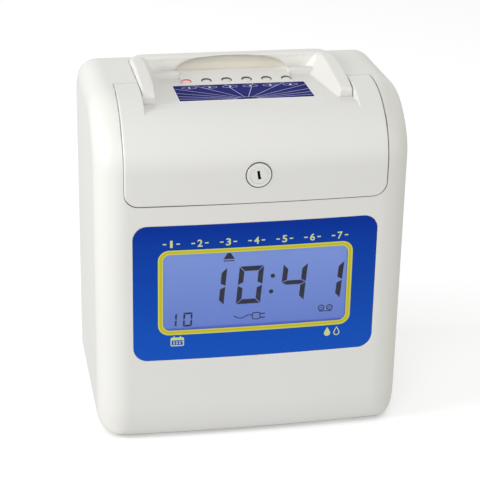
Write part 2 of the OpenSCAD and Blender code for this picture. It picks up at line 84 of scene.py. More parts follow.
# ---------------------------------------------------------------- materials
def new_mat(name):
    m = bpy.data.materials.new(name)
    m.use_nodes = True
    nt = m.node_tree
    nt.nodes.clear()
    out = nt.nodes.new("ShaderNodeOutputMaterial")
    b = nt.nodes.new("ShaderNodeBsdfPrincipled")
    nt.links.new(b.outputs[0], out.inputs[0])
    return m, nt, b


def coords(nt, scale):
    tc = nt.nodes.new("ShaderNodeTexCoord")
    mp = nt.nodes.new("ShaderNodeMapping")
    mp.inputs["Scale"].default_value = scale if hasattr(scale, "__len__") else (scale,) * 3
    nt.links.new(tc.outputs["Object"], mp.inputs[0])
    return mp.outputs[0]


def noise(nt, scale, detail=3, rough=0.5, stretch=(1, 1, 1), distortion=0.0):
    n = nt.nodes.new("ShaderNodeTexNoise")
    n.inputs["Scale"].default_value = scale
    n.inputs["Detail"].default_value = detail
    n.inputs["Roughness"].default_value = rough
    n.inputs["Distortion"].default_value = distortion
    nt.links.new(coords(nt, stretch), n.inputs["Vector"])
    return n.outputs["Fac"]


def ramp(nt, fac, stops):
    r = nt.nodes.new("ShaderNodeValToRGB")
    e = r.color_ramp.elements
    while len(e) > 1:
        e.remove(e[-1])
    e[0].position, e[0].color = stops[0][0], (*stops[0][1], 1)
    for pos, col in stops[1:]:
        el = e.new(pos)
        el.color = (*col, 1)
    nt.links.new(fac, r.inputs[0])
    return r.outputs[0]


def map_range(nt, fac, a, b, c, d):
    m = nt.nodes.new("ShaderNodeMapRange")
    for i, v in zip((1, 2, 3, 4), (a, b, c, d)):
        m.inputs[i].default_value = v
    nt.links.new(fac, m.inputs[0])
    return m.outputs[0]


def bump(nt, b, height, strength, distance, onto=None):
    n = nt.nodes.new("ShaderNodeBump")
    n.inputs["Strength"].default_value = strength
    n.inputs["Distance"].default_value = distance
    nt.links.new(height, n.inputs["Height"])
    if onto is not None:
        nt.links.new(onto, n.inputs["Normal"])
    nt.links.new(n.outputs[0], b.inputs["Normal"])
    return n.outputs[0]


def plastic(name, col, rough=0.38, var=0.03, grain=900, depth=0.00002, strength=0.15,
            coat=0.0, spec=0.5, warm=None, big=9, sss=0.0):
    """moulded plastic: broad tone drift, faint flow marks, fine surface grain"""
    m, nt, b = new_mat(name)
    dark = tuple(c * (1 - var) for c in (warm or col))
    light = tuple(min(1, c * (1 + var)) for c in col)
    n1 = noise(nt, big, 4, 0.55)
    nt.links.new(ramp(nt, n1, [(0.3, dark), (0.7, light)]), b.inputs["Base Color"])
    n2 = noise(nt, 60, 4, 0.6)
    nt.links.new(map_range(nt, n2, 0.3, 0.7, rough * 0.92, rough * 1.1), b.inputs["Roughness"])
    n3 = noise(nt, grain, 2, 0.5)
    bump(nt, b, n3, strength, depth)
    b.inputs["Specular IOR Level"].default_value = spec
    b.inputs["Coat Weight"].default_value = coat
    b.inputs["Coat Roughness"].default_value = 0.07
    if sss:
        b.inputs["Subsurface Weight"].default_value = sss
        b.inputs["Subsurface Radius"].default_value = (0.9, 0.8, 0.6)
        b.inputs["Subsurface Scale"].default_value = 0.002
    return m


def metal(name, col, rough=0.3, stretch=(1, 1, 1), grain=400, var=0.08, depth=0.00001, strength=0.2):
    """metal: drawn or ground grain along one direction, a little tarnish"""
    m, nt, b = new_mat(name)
    n1 = noise(nt, 35, 4, 0.6)
    dark = tuple(c * (1 - var) for c in col)
    light = tuple(min(1, c * (1 + var)) for c in col)
    nt.links.new(ramp(nt, n1, [(0.3, dark), (0.7, light)]), b.inputs["Base Color"])
    n2 = noise(nt, grain, 3, 0.6, stretch)
    nt.links.new(map_range(nt, n2, 0.3, 0.7, rough * 0.8, rough * 1.25), b.inputs["Roughness"])
    bump(nt, b, n2, strength, depth)
    b.inputs["Metallic"].default_value = 1.0
    return m


def board(name, col):
    """solder-masked board: weave under the mask and darker copper tracks"""
    m, nt, b = new_mat(name)
    br = nt.nodes.new("ShaderNodeTexBrick")
    nt.links.new(coords(nt, 1), br.inputs["Vector"])
    br.inputs["Scale"].default_value = 160
    br.inputs["Mortar Size"].default_value = 0.03
    br.inputs["Color1"].default_value = (*col, 1)
    br.inputs["Color2"].default_value = (*(c * 0.8 for c in col), 1)
    br.inputs["Mortar"].default_value = (*(c * 1.5 for c in col), 1)
    nt.links.new(br.outputs["Color"], b.inputs["Base Color"])
    n = noise(nt, 700, 2, 0.5)
    nt.links.new(map_range(nt, n, 0.3, 0.7, 0.3, 0.42), b.inputs["Roughness"])
    bump(nt, b, br.outputs["Fac"], 0.2, 0.00003)
    return m


WHITE = (0.722, 0.720, 0.689)
M = {}
M["white"] = plastic("housing_white", WHITE, rough=0.30, var=0.008, warm=(0.718, 0.711, 0.677),
                     grain=2600, depth=0.000003, strength=0.1, spec=0.36, coat=0.14)


def shaded_white():
    """painted shade: the right side darker and a little yellower, and a thin dark line along the bottom edge where the
    body meets the floor
    """
    nt = M["white"].node_tree
    b = nt.nodes["Principled BSDF"]
    tc, sep = nt.nodes.new("ShaderNodeTexCoord"), nt.nodes.new("ShaderNodeSeparateXYZ")
    nt.links.new(tc.outputs["Object"], sep.inputs[0])
    old = b.inputs["Base Color"].links[0].from_socket
    # painted shade: darker and warmer from x 72 mm outwards, and dark in the lowest millimetre or so above the
    # underside
    for out, a, z, col in ((sep.outputs[0], 0.072, 0.0925, (0.655, 0.648, 0.582)), (sep.outputs[2], 0.0034, 0.0023, (0.20, 0.19, 0.17))):
        r = nt.nodes.new("ShaderNodeMapRange")
        r.interpolation_type = "SMOOTHSTEP"
        for i, v in zip((1, 2, 3, 4), (a, z, 0.0, 1.0)):
            r.inputs[i].default_value = v
        nt.links.new(out, r.inputs[0])
        x = nt.nodes.new("ShaderNodeMix")
        x.data_type = "RGBA"
        x.inputs["B"].default_value = (*col, 1)
        nt.links.new(r.outputs[0], x.inputs["Factor"])
        nt.links.new(old, x.inputs["A"])
        old = x.outputs["Result"]

    def m(op, *args):
        n = nt.nodes.new("ShaderNodeMath")
        n.operation = op
        for i, a in enumerate(args):
            if isinstance(a, (int, float)):
                n.inputs[i].default_value = a
            else:
                nt.links.new(a, n.inputs[i])
        return n.outputs[0]

    # painted shade in the parting line under the door and beside its right edge
    x0, y0, z0 = sep.outputs
    qx = m("SUBTRACT", m("ABSOLUTE", m("ADD", x0, 0.00013)), 0.06875)
    qz = m("SUBTRACT", 0.16015, z0)
    far = m("SQRT", m("ADD", m("POWER", m("MAXIMUM", qx, 0.0), 2.0), m("POWER", m("MAXIMUM", qz, 0.0), 2.0)))
    d = m("SUBTRACT", m("ADD", far, m("MINIMUM", m("MAXIMUM", qx, qz), 0.0)), 0.0082)
    off = m("ABSOLUTE", m("SUBTRACT", d, 0.0001))
    fac = m("MULTIPLY", map_range(nt, off, 0.00045, 0.00012, 0.0, 0.85), map_range(nt, y0, -0.0115, -0.0125, 0.0, 1.0))
    fac = m("MULTIPLY", fac, map_range(nt, x0, -0.0771, -0.0755, 0.0, 1.0))
    x = nt.nodes.new("ShaderNodeMix")
    x.data_type = "RGBA"
    x.inputs["B"].default_value = (0.15, 0.13, 0.08, 1)
    nt.links.new(fac, x.inputs["Factor"])
    nt.links.new(old, x.inputs["A"])
    nt.links.new(x.outputs["Result"], b.inputs["Base Color"])


shaded_white()


def throat_white():
    """the housing's plastic, with painted light: warmer and paler on the back wall and in the finger scoop, where the
    walls of the card slot would light each other; and painted shade in the key holes
    """
    m = plastic("throat_white", (0.735, 0.730, 0.698), rough=0.32, var=0.008, warm=(0.730, 0.718, 0.679),
                grain=2600, depth=0.000004, strength=0.12, spec=0.36, coat=0.05)
    nt = m.node_tree
    b = nt.nodes["Principled BSDF"]
    tc = nt.nodes.new("ShaderNodeTexCoord")
    sep = nt.nodes.new("ShaderNodeSeparateXYZ")
    nt.links.new(tc.outputs["Object"], sep.inputs[0])

    def span(out, a, b_, c=0.0, d=1.0):
        r = nt.nodes.new("ShaderNodeMapRange")
        r.interpolation_type = "SMOOTHSTEP"
        for i, v in zip((1, 2, 3, 4), (a, b_, c, d)):
            r.inputs[i].default_value = v
        nt.links.new(out, r.inputs[0])
        return r.outputs[0]

    def math2(op, a, b_=None):
        n = nt.nodes.new("ShaderNodeMath")
        n.operation = op
        nt.links.new(a, n.inputs[0])
        if b_ is not None:
            nt.links.new(b_, n.inputs[1])
        return n.outputs[0]

    def tint(fac, col, old):
        x = nt.nodes.new("ShaderNodeMix")
        x.data_type = "RGBA"
        x.inputs["B"].default_value = (*col, 1)
        nt.links.new(fac, x.inputs["Factor"])
        nt.links.new(old, x.inputs["A"])
        return x.outputs["Result"]

    def fixed(op, a, value):
        n = nt.nodes.new("ShaderNodeMath")
        n.operation = op
        nt.links.new(a, n.inputs[0])
        n.inputs[1].default_value = value
        return n.outputs[0]

    # painted shade: the walls and rims of the key holes turn dark brown
    across = fixed("SUBTRACT", fixed("MODULO", math2("ABSOLUTE", sep.outputs[0]), 0.0123), 0.00615)
    along = fixed("SUBTRACT", sep.outputs[1], 0.009)
    away = math2("SQRT", math2("ADD", math2("MULTIPLY", across, across), math2("MULTIPLY", along, along)))
    key_hole_shade = math2("MULTIPLY", span(away, 0.00314, 0.0033, 1.0, 0.0), span(math2("ABSOLUTE", sep.outputs[0]), 0.035, 0.0355, 1.0, 0.0))
    # painted light: the back wall made paler, and its middle, the finger scoop, warmer
    wall = math2("MULTIPLY", span(sep.outputs[1], 0.0195, 0.0255), span(sep.outputs[2], 0.2095, 0.2125, 1.0, 0.0))
    pocket = math2("MULTIPLY", wall, span(math2("ABSOLUTE", sep.outputs[0]), 0.026, 0.036, 1.0, 0.0))
    old = b.inputs["Base Color"].links[0].from_socket
    new = tint(pocket, (0.82, 0.795, 0.715), tint(wall, (0.86, 0.85, 0.81), old))
    new = tint(key_hole_shade, (0.13, 0.11, 0.085), new)
    nt.links.new(new, b.inputs["Base Color"])
    return m


M["white_top"] = throat_white()
M["white_in"] = plastic("rear_white", (0.665, 0.66, 0.632), rough=0.5, var=0.015, grain=1500,
                        depth=0.00003, strength=0.35)
M["rubber"] = plastic("rubber_black", (0.025, 0.025, 0.025), rough=0.75, var=0.2, grain=1200, strength=0.5)
M["zinc"] = metal("zinc_plate", (0.62, 0.62, 0.6), 0.28, grain=300)
M["lock"] = plastic("lock_plate", (0.80, 0.795, 0.755), rough=0.28, var=0.02, grain=1400, depth=0.000003, strength=0.1,
                    spec=0.8, coat=0.25)
M["lock"].node_tree.nodes["Principled BSDF"].inputs["Metallic"].default_value = 0.25
M["key"] = plastic("key_white", (0.78, 0.775, 0.74), rough=0.32, var=0.01, grain=1800, strength=0.1)
M["green"] = board("board_green", (0.015, 0.16, 0.05))
M["black"] = plastic("black_plastic", (0.022, 0.022, 0.024), rough=0.5, var=0.15, grain=900, strength=0.4)
M["grey"] = plastic("grey_plastic", (0.5, 0.5, 0.49), rough=0.5, var=0.04, grain=900, strength=0.3)
M["sheet"] = metal("sheet_steel", (0.6, 0.61, 0.62), 0.36, stretch=(1, 1, 0.08), grain=500)
M["ground"] = metal("ground_steel", (0.68, 0.68, 0.7), 0.16, stretch=(14, 1, 1), grain=260)
M["motor"] = plastic("motor_case", (0.09, 0.09, 0.095), rough=0.42, var=0.15, grain=700, strength=0.35)
M["nylon"] = plastic("gear_nylon", (0.76, 0.73, 0.63), rough=0.45, var=0.02, grain=900, strength=0.2, sss=0.1)
M["brass"] = metal("brass", (0.72, 0.5, 0.18), 0.25, grain=400)
M["ribbon"] = plastic("ink_ribbon", (0.03, 0.008, 0.05), rough=0.85, var=0.25, grain=3000, strength=0.8)
M["core"] = plastic("core_steel", (0.09, 0.08, 0.07), rough=0.45, var=0.3, grain=500, strength=0.5)
M["cell"] = plastic("cell_green", (0.03, 0.22, 0.08), rough=0.3, var=0.05, grain=700, strength=0.15)
M["can"] = plastic("can_blue", (0.02, 0.03, 0.1), rough=0.3, var=0.05, grain=700, strength=0.15)
M["guide"] = plastic("light_guide", (0.72, 0.78, 0.95), rough=0.25, var=0.02, grain=900, strength=0.1)


def lit(name, low, high, emit_low, emit_high, strength, rough=0.4, spec=0.1, z0=0.072, z1=0.123, axis=2, speckle=0.03):
    """glowing surface whose colour drifts along one axis, with a faint mottle"""
    m, nt, b = new_mat(name)
    tc = nt.nodes.new("ShaderNodeTexCoord")
    sep = nt.nodes.new("ShaderNodeSeparateXYZ")
    nt.links.new(tc.outputs["Object"], sep.inputs[0])
    t = map_range(nt, sep.outputs[axis], z0, z1, 0, 1)
    n = noise(nt, 180, 2, 0.5)
    mix = nt.nodes.new("ShaderNodeMath")
    mix.operation = "MULTIPLY_ADD"
    mix.inputs[1].default_value = speckle
    nt.links.new(n, mix.inputs[0])
    nt.links.new(t, mix.inputs[2])
    nt.links.new(ramp(nt, mix.outputs[0], [(0.0, low), (1.0, high)]), b.inputs["Base Color"])
    nt.links.new(ramp(nt, mix.outputs[0], [(0.0, emit_low), (1.0, emit_high)]), b.inputs["Emission Color"])
    b.inputs["Emission Strength"].default_value = strength
    b.inputs["Roughness"].default_value = rough
    b.inputs["Specular IOR Level"].default_value = spec
    return m


def clear(name):
    """clear moulded sheet with the finest of surface waves"""
    m, nt, b = new_mat(name)
    n = noise(nt, 25, 2, 0.4)
    nt.links.new(ramp(nt, n, [(0.0, (0.97, 0.98, 1.0)), (1.0, (1, 1, 1))]), b.inputs["Base Color"])
    nt.links.new(map_range(nt, n, 0.3, 0.7, 0.0, 0.02), b.inputs["Roughness"])
    b.inputs["Transmission Weight"].default_value = 1.0
    b.inputs["IOR"].default_value = 1.3
    return m


def graded(name, stops, z0, z1, mottle=0.06, rough=0.28, spec=0.08):
    """printed sheet whose colour deepens with height, slightly cloudy"""
    m, nt, b = new_mat(name)
    tc = nt.nodes.new("ShaderNodeTexCoord")
    sep = nt.nodes.new("ShaderNodeSeparateXYZ")
    nt.links.new(tc.outputs["Object"], sep.inputs[0])
    t = map_range(nt, sep.outputs[2], z0, z1, 0, 1)
    n = noise(nt, 34, 4, 0.55)
    mix = nt.nodes.new("ShaderNodeMath")
    mix.operation = "MULTIPLY_ADD"
    mix.inputs[1].default_value = mottle
    nt.links.new(n, mix.inputs[0])
    nt.links.new(t, mix.inputs[2])
    nt.links.new(ramp(nt, mix.outputs[0], stops), b.inputs["Base Color"])
    nt.links.new(map_range(nt, noise(nt, 80, 3, 0.5), 0.3, 0.7, rough * 0.93, rough * 1.07), b.inputs["Roughness"])
    bump(nt, b, noise(nt, 500, 2, 0.5), 0.05, 0.000003)
    b.inputs["Specular IOR Level"].default_value = spec
    return m


M["panel"] = graded("panel_blue", [(0.0, (0.008, 0.086, 0.49)), (0.5, (0.0045, 0.062, 0.41)), (0.88, (0.0028, 0.043, 0.34)),
                                   (1.0, (0.0015, 0.031, 0.30))], 0.0538, 0.1398)
M["clear"] = clear("display_clear")
M["yellow"] = plastic("print_yellow", (0.56, 0.46, 0.015), rough=0.4, var=0.02, grain=1500, strength=0.05, spec=0.1)
M["yellow_pale"] = plastic("print_yellow_pale", (0.58, 0.62, 0.10), rough=0.4, var=0.02, grain=1500, strength=0.05, spec=0.1)
M["print"] = plastic("print_pale_yellow", (0.58, 0.64, 0.27), rough=0.4, var=0.015, grain=1500, strength=0.05, spec=0.1)
M["pale_print"] = plastic("print_lavender", (0.52, 0.52, 0.78), rough=0.4, var=0.03, grain=1500, strength=0.05, spec=0.1)
M["film"] = plastic("film_white", (0.86, 0.86, 0.88), rough=0.35, var=0.01, grain=1500, strength=0.05)
M["indigo"] = plastic("print_indigo", (0.033, 0.036, 0.170), rough=0.35, var=0.10, grain=1200, depth=0.000004,
                      strength=0.08, spec=0.0, big=60)
M["lcd"] = lit("display_lavender", (0.085, 0.10, 0.20), (0.095, 0.12, 0.22), (0.068, 0.131, 0.43), (0.125, 0.20, 0.50), 1.0)
M["lcd_edge"] = lit("display_lavender_edge", (0.10, 0.11, 0.20), (0.10, 0.11, 0.2), (0.04, 0.07, 0.40), (0.05, 0.08, 0.42), 1.0)
M["segment"] = plastic("display_segment", (0.03, 0.03, 0.055), rough=0.5, var=0.1, grain=900, strength=0.05, spec=0.1)
M["glow"] = lit("key_light_red", (0.7, 0.10, 0.12), (0.75, 0.14, 0.16), (0.80, 0.20, 0.24), (0.85, 0.25, 0.29), 0.3,
                z0=0.199, z1=0.2025)
# painted shade: a dark ring standing for the shadow and gap around the lock's rim
M["lock_dark"] = plastic("lock_rim_painted_shade", (0.085, 0.078, 0.055), rough=0.35, var=0.1, grain=900, strength=0.1, spec=0.3)


# ---------------------------------------------------------------- distance functions
def rmax(a, b, r):
    """intersection with a rounded edge"""
    return np.minimum(np.maximum(a, b), -r) + np.hypot(np.maximum(a + r, 0), np.maximum(b + r, 0))


def rmin(a, b, r):
    """union with a fillet"""
    return np.maximum(np.minimum(a, b), r) - np.hypot(np.maximum(r - a, 0), np.maximum(r - b, 0))


def sstep(t):
    t = np.clip(t, 0, 1)
    return t * t * (3 - 2 * t)


def rect(u, v, u0, u1, v0, v1, r):
    """rounded rectangle in two coordinates"""
    a = np.abs(u - (u0 + u1) / 2) - (u1 - u0) / 2 + r
    b = np.abs(v - (v0 + v1) / 2) - (v1 - v0) / 2 + r
    return np.hypot(np.maximum(a, 0), np.maximum(b, 0)) + np.minimum(np.maximum(a, b), 0) - r


def slab(u, u0, u1):
    return np.maximum(u0 - u, u - u1)


def block(x, y, z, lo, hi, r=0.0):
    a = np.abs(x - (lo[0] + hi[0]) / 2) - (hi[0] - lo[0]) / 2 + r
    b = np.abs(y - (lo[1] + hi[1]) / 2) - (hi[1] - lo[1]) / 2 + r
    c = np.abs(z - (lo[2] + hi[2]) / 2) - (hi[2] - lo[2]) / 2 + r
    out = np.sqrt(np.maximum(a, 0) ** 2 + np.maximum(b, 0) ** 2 + np.maximum(c, 0) ** 2)
    return out + np.minimum(np.maximum(np.maximum(a, b), c), 0) - r


def rod(u, v, w, r, w0, w1, e=0.0):
    """cylinder of radius r along w, its rims rounded by e"""
    return rmax(np.hypot(u, v) - r, slab(w, w0, w1), e)


def crown(x):
    return 1.8 * (x / 72.5) ** 2


def behind(x, y):
    """depth behind the crowned front face"""
    return y - crown(np.minimum(np.abs(x), 93)) * (1 - sstep((y - 14) / 46))


def form(x, y, z, foot=True):
    """outer skin of the whole body; foot rounds the bottom of both sides"""
    yy = behind(x, y)
    ey, ez = np.maximum(48.5 - yy, 0) / 48.5, np.maximum(z - 169, 0) / 39
    k, q = np.sqrt(ey * ey + ez * ez), np.sqrt((ey / 48.5) ** 2 + (ez / 39) ** 2)
    top = np.where(q < 1e-5, -40.0, (k - 1) * k / np.maximum(q, 1e-5))
    s = np.clip((22 - z) / 22, 0, 0.97)
    root = np.sqrt(1 - s * s)
    slope = 5 * s / (22 * root)
    low = (5 * (1 - root) + slope * np.maximum(0.66 - z, 0) - yy) / np.sqrt(1 + slope * slope)
    g = np.maximum(np.maximum(top, low), rmax(z - 208, y - 130, 28))
    r = 18 - 5 * sstep((yy - 12) / 36.5) - 3 * sstep((y - 100) / 25)
    side = np.abs(x) - 93
    if foot:
        t = np.clip((9.5 - z) / 10, 0, 0.94)
        side = side + 10 * (1 - np.sqrt(1 - t * t))
        r = r * (1 - 0.66 * t * t)
    return rmax(g, side, r)


def door_hole(x, y, z, p):
    """opening that the door closes, with play p inside it"""
    return np.maximum(rect(x, z, -77.2 + p, 77.2 - p, 149.6 + p, 270, 8.5 - p), y - 52.7 + 0.6 * p)


def throat_plan(x, y, p):
    return np.maximum(rmax(np.abs(x) - 62.4 - p, y - 103 - p, 7 + p), 35 - p - y)


# ---------------------------------------------------------------- surfaces from distance functions
def lines(lo, hi, step, fine=(), grow=0.3):
    """grid lines from lo to hi, closer together in the fine spans (a, b, spacing)"""
    t, out = lo, [lo]
    while t < hi:
        h = step
        for a, b, s in fine:
            d = max(a - t, t - b, 0)
            h = min(h, s + grow * d)
        t += h
        out.append(t)
    return np.array(out)


def mirror_lines(hi, step, fine=()):
    half = lines(0, hi, step, fine)
    return np.concatenate([-half[:0:-1], half])


def gradient(f, p, e):
    g = np.empty_like(p)
    for a in range(3):
        d = np.zeros(3)
        d[a] = e
        up, dn = p + d, p - d
        g[:, a] = f(up[:, 0], up[:, 1], up[:, 2]) - f(dn[:, 0], dn[:, 1], dn[:, 2])
    return g / (2 * e)


def surface(name, f, xs, ys, zs, mat, chunk=40):
    """closed mesh of f = 0, its points pulled exactly onto the surface, with true normals"""
    nx, ny, nz = len(xs), len(ys), len(zs)
    v = np.empty((nx, ny, nz), np.float32)
    for a in range(0, nx, chunk):
        b = min(nx, a + chunk)
        v[a:b] = f(xs[a:b, None, None], ys[None, :, None], zs[None, None, :])
    v[np.abs(v) < 1e-4] = 1e-4
    s = v < 0
    n8 = np.zeros((nx - 1, ny - 1, nz - 1), np.int8)
    for a in (0, 1):
        for b in (0, 1):
            for c in (0, 1):
                n8 += s[a:nx - 1 + a, b:ny - 1 + b, c:nz - 1 + c]
    act = (n8 > 0) & (n8 < 8)
    i, j, k = np.nonzero(act)
    ids = np.full(act.shape, -1, np.int64)
    ids[i, j, k] = np.arange(len(i))
    acc, cnt = np.zeros((len(i), 3)), np.zeros(len(i))
    corner = [(a, b, c) for a in (0, 1) for b in (0, 1) for c in (0, 1)]
    for p in range(8):
        for q in range(p + 1, 8):
            a, b = corner[p], corner[q]
            if sum(abs(m - n) for m, n in zip(a, b)) != 1:
                continue
            va, vb = v[i + a[0], j + a[1], k + a[2]], v[i + b[0], j + b[1], k + b[2]]
            cut = np.nonzero((va < 0) != (vb < 0))[0]
            t = (va[cut] / (va[cut] - vb[cut]))[:, None]
            ci, cj, ck = i[cut], j[cut], k[cut]
            pa = np.stack([xs[ci + a[0]], ys[cj + a[1]], zs[ck + a[2]]], 1)
            pb = np.stack([xs[ci + b[0]], ys[cj + b[1]], zs[ck + b[2]]], 1)
            acc[cut] += pa + t * (pb - pa)
            cnt[cut] += 1
    pts = acc / cnt[:, None]
    quads = []
    for ax in range(3):
        o1, o2 = [(1, 2), (2, 0), (0, 1)][ax]
        sl_a, sl_b = [slice(None)] * 3, [slice(None)] * 3
        sl_a[ax], sl_b[ax] = slice(0, -1), slice(1, None)
        for o in (o1, o2):
            sl_a[o] = sl_b[o] = slice(1, -1)
        a_in, b_in = s[tuple(sl_a)], s[tuple(sl_b)]
        e = np.stack(np.nonzero(a_in != b_in), 1)
        if not len(e):
            continue
        ain = a_in[e[:, 0], e[:, 1], e[:, 2]]
        base = e.copy()
        base[:, o1] += 1
        base[:, o2] += 1

        def cell(d1, d2):
            c = base.copy()
            c[:, o1] += d1
            c[:, o2] += d2
            return ids[c[:, 0], c[:, 1], c[:, 2]]
        qd = np.stack([cell(-1, -1), cell(0, -1), cell(0, 0), cell(-1, 0)], 1)
        qd[~ain] = qd[~ain][:, ::-1]
        quads.append(qd)
    quads = np.concatenate(quads)
    quads = quads[(quads >= 0).all(1)]
    for step in range(4):
        val = f(pts[:, 0], pts[:, 1], pts[:, 2])
        g = gradient(f, pts, 0.02)
        g2 = np.maximum((g * g).sum(1), 0.15)
        move = -(val / g2)[:, None] * g
        size = np.linalg.norm(move, axis=1, keepdims=True)
        pts = pts + move * np.minimum(1, 0.5 / np.maximum(size, 1e-9))
    nrm = gradient(f, pts, 0.04)
    nrm /= np.maximum(np.linalg.norm(nrm, axis=1, keepdims=True), 1e-9)
    me = bpy.data.meshes.new(name)
    me.vertices.add(len(pts))
    me.vertices.foreach_set("co", row(pts).astype(np.float32).ravel())
    me.loops.add(quads.size)
    me.loops.foreach_set("vertex_index", quads.astype(np.int32).ravel())
    me.polygons.add(len(quads))
    me.polygons.foreach_set("loop_start", np.arange(0, quads.size, 4, dtype=np.int32))
    me.polygons.foreach_set("use_smooth", np.ones(len(quads), bool))
    me.update(calc_edges=True)
    me.validate()
    me.normals_split_custom_set_from_vertices(nrm.astype(np.float32).tolist())
    ob = link(name, me)
    for m in (mat if isinstance(mat, (list, tuple)) else [mat]):
        me.materials.append(m)
    return ob


# ---------------------------------------------------------------- housing
def housing(x, y, z):
    ax = np.abs(x)
    f = form(x, y, z)
    inner = form(x, y, z, False) + 3 + 1.2 * sstep((ax - 81) / 5) * sstep((z - 40) / 25)
    low = np.minimum(np.hypot(np.maximum(ax - 83, 0), 9.5 - z) - 7, ax - 85.1)
    h = np.maximum(f, -np.maximum(inner, np.where(z < 9.5, low, ax - 90)))
    h = rmax(h, -z, 0.5)
    # posts, bosses, strike, hinge ears
    inner = f + 0.8
    for yc in (26, 108):
        post = np.minimum(rod(ax - 80, y - yc, z, 4, 3.1, 19, 0.4),
                          block(ax, y, z, (81, yc - 1.2, 9), (92, yc + 1.2, 19), 0.2))
        h = np.minimum(h, np.maximum(post, inner))
    for zc in (16, 164):
        post = np.minimum(rod(ax - 77, z - zc, y, 4, 112, 127.5, 0.3),
                          block(ax, y, z, (78, 112, zc - 1.3), (92, 120, zc + 1.3), 0.2))
        h = np.minimum(h, np.maximum(post, inner))
    for zc in (50, 134):
        h = np.minimum(h, rod(ax - 66, z - zc, y, 3.5, 3, 12.4, 0.3))
    h = np.minimum(h, block(x, y, z, (-12, 1.8, 139), (12, 11, 141), 0.3))
    h = np.minimum(h, block(x, y, z, (-12, 9, 139), (12, 11, 148.4), 0.3))
    ear = block(ax, y, z, (76.9, 52.7, 196.7), (81.6, 62.7, 207), 0.3)
    h = np.minimum(h, np.maximum(ear, inner))
    # openings
    h = rmax(h, -door_hole(x, y, z, 0), 0.3)
    h = rmax(h, -np.maximum(throat_plan(x, y, 0.2), 180 - z), 0.3)
    yy = y - crown(np.minimum(ax, 93))
    h = rmax(h, -np.maximum(rect(x, z, -72.5, 72.5, 51.76, 137.76, 8.7), yy - 1.4), 0.35)
    h = np.maximum(h, -np.maximum(rect(x, z, -57, 57, 69.5, 121.5, 3), y - 8))
    h = rmax(h, -np.maximum(rect(x, z, -82, 82, 8.3, 172.3, 6), 120 - y), 0.4)
    return h


hx = mirror_lines(94.2, 6, [(84.8, 86.8, 0.75), (87, 93.2, 1.7), (71.8, 73.2, 0.4), (64, 72, 1.7), (76.5, 77.8, 0.35), (67.5, 76, 1.7),
                            (78, 94, 2.4), (62.3, 63.1, 0.4), (48, 62, 2.8), (56.4, 57.6, 0.7)])
hy = lines(-1, 131.5, 6, [(-1, 3.0, 0.5), (3.4, 22, 2.0), (22, 50, 2.6), (52.2, 53.2, 0.35), (54, 64, 2.4),
                          (88, 102, 2.2), (103.0, 104.0, 0.4), (105, 125, 2.1), (119.6, 120.4, 0.5), (125, 131.5, 1.1)])
hz = lines(-1.2, 209.2, 6, [(-1.2, 1.2, 0.5), (2, 10, 1.6), (10, 24, 2.8), (51.2, 52.4, 0.4), (52.8, 60.5, 1.8),
                            (69, 70, 0.7), (121, 122, 0.7), (129, 136.8, 1.8), (137.2, 138.4, 0.4),
                            (138.7, 149, 1.6), (149.2, 150.2, 0.35), (150.6, 159, 1.6), (168, 180, 2.4), (180, 196, 2.1),
                            (171.8, 172.8, 0.6), (173.1, 175.5, 0.6), (196, 209.2, 1.8)])
front_housing = surface("housing_shell", housing, hx, hy, hz, M["white"])
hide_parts("front_housing")
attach(front_housing, "case")


# ---------------------------------------------------------------- door
HY, HZ = 57.7, 201.7


def door(x, y, z):
    ax = np.abs(x)
    f = form(x, y, z)
    proud = f - 0.42 * sstep((46 - y) / 20)
    outer = np.minimum(rmax(proud, z - 200.5, 2.2), rmax(proud, np.maximum(62.65 - ax, 186 - z), 0.5))
    inner = np.minimum(rmax(f + 2.4, z - 198.3, 1.5), np.maximum(f + 2.4, 65.5 - ax))
    d = np.maximum(outer, -inner)
    d = rmax(d, -np.maximum(ax - 62.65, 34.7 - y), 0.25)
    turn = np.hypot(y - HY, z - HZ)
    d = rmax(d, 8.25 - turn, 0.3)
    ret = np.maximum(np.maximum(f + 0.6, -(f + 8)), np.maximum(74.6 - ax, y - 46))
    d = np.minimum(d, ret)
    d = np.minimum(d, rod(x, z - 167, y, 10.5, 1.5, 6, 0.3))
    hole = np.maximum(rect(x, z, -77.08, 76.82, 149.95, 270, 8.2), y - 52.57)
    d = rmax(d, hole, 0.3 + 0.7 * sstep((46 - y) / 20) * sstep((4 - x) / 60))
    # swan-neck arms with their barrels
    arm = np.maximum(np.maximum(turn - 11.2, 8.6 - turn), slab(ax, 66.5, 73.5))
    ang = np.degrees(np.arctan2(z - HZ, y - HY))
    ang = np.where(ang < 0, ang + 360, ang)
    arm = np.maximum(arm, np.maximum(147 - ang, ang - 238) * 0.19)
    c, s = math.cos(math.radians(236)), math.sin(math.radians(236))
    u = (y - HY) * c + (z - HZ) * s
    w = -(y - HY) * s + (z - HZ) * c
    rib = np.maximum(np.maximum(slab(u, 1, 10.4), np.abs(w) - 1.4), slab(ax, 66.5, 73.5))
    barrel = rod(y - HY, z - HZ, ax, 3, 63.7, 76.8, 0.3)
    arms = np.maximum(rmin(rmin(arm, rib, 0.5), barrel, 0.5), f + 0.6)
    d = np.minimum(d, arms)
    d = np.maximum(d, -rod(y - HY, z - HZ, ax, 1.55, 63, 90))
    return np.maximum(d, -rod(x, z - 167, y, 6.6, -5, 30))


dx = mirror_lines(77.6, 3.2, [(0, 12, 0.84), (62.3, 63.6, 0.3), (63.6, 76, 0.8), (66.3, 77.6, 0.7), (76, 77.6, 0.28)])
dy = lines(-0.8, 61.5, 2, [(-0.8, 6.2, 0.45), (6, 20, 0.75), (20, 33, 0.55), (33, 35.5, 0.3), (35, 61.5, 0.75)])
dz = lines(149, 208.8, 2, [(149, 150.9, 0.28), (151, 158.5, 0.8), (156, 178, 0.86), (178, 188, 0.8),
                           (188, 208.8, 0.55)])
door_shell = surface("door_shell", door, dx, dy, dz, M["white"])
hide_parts("door")
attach(door_shell, "door")


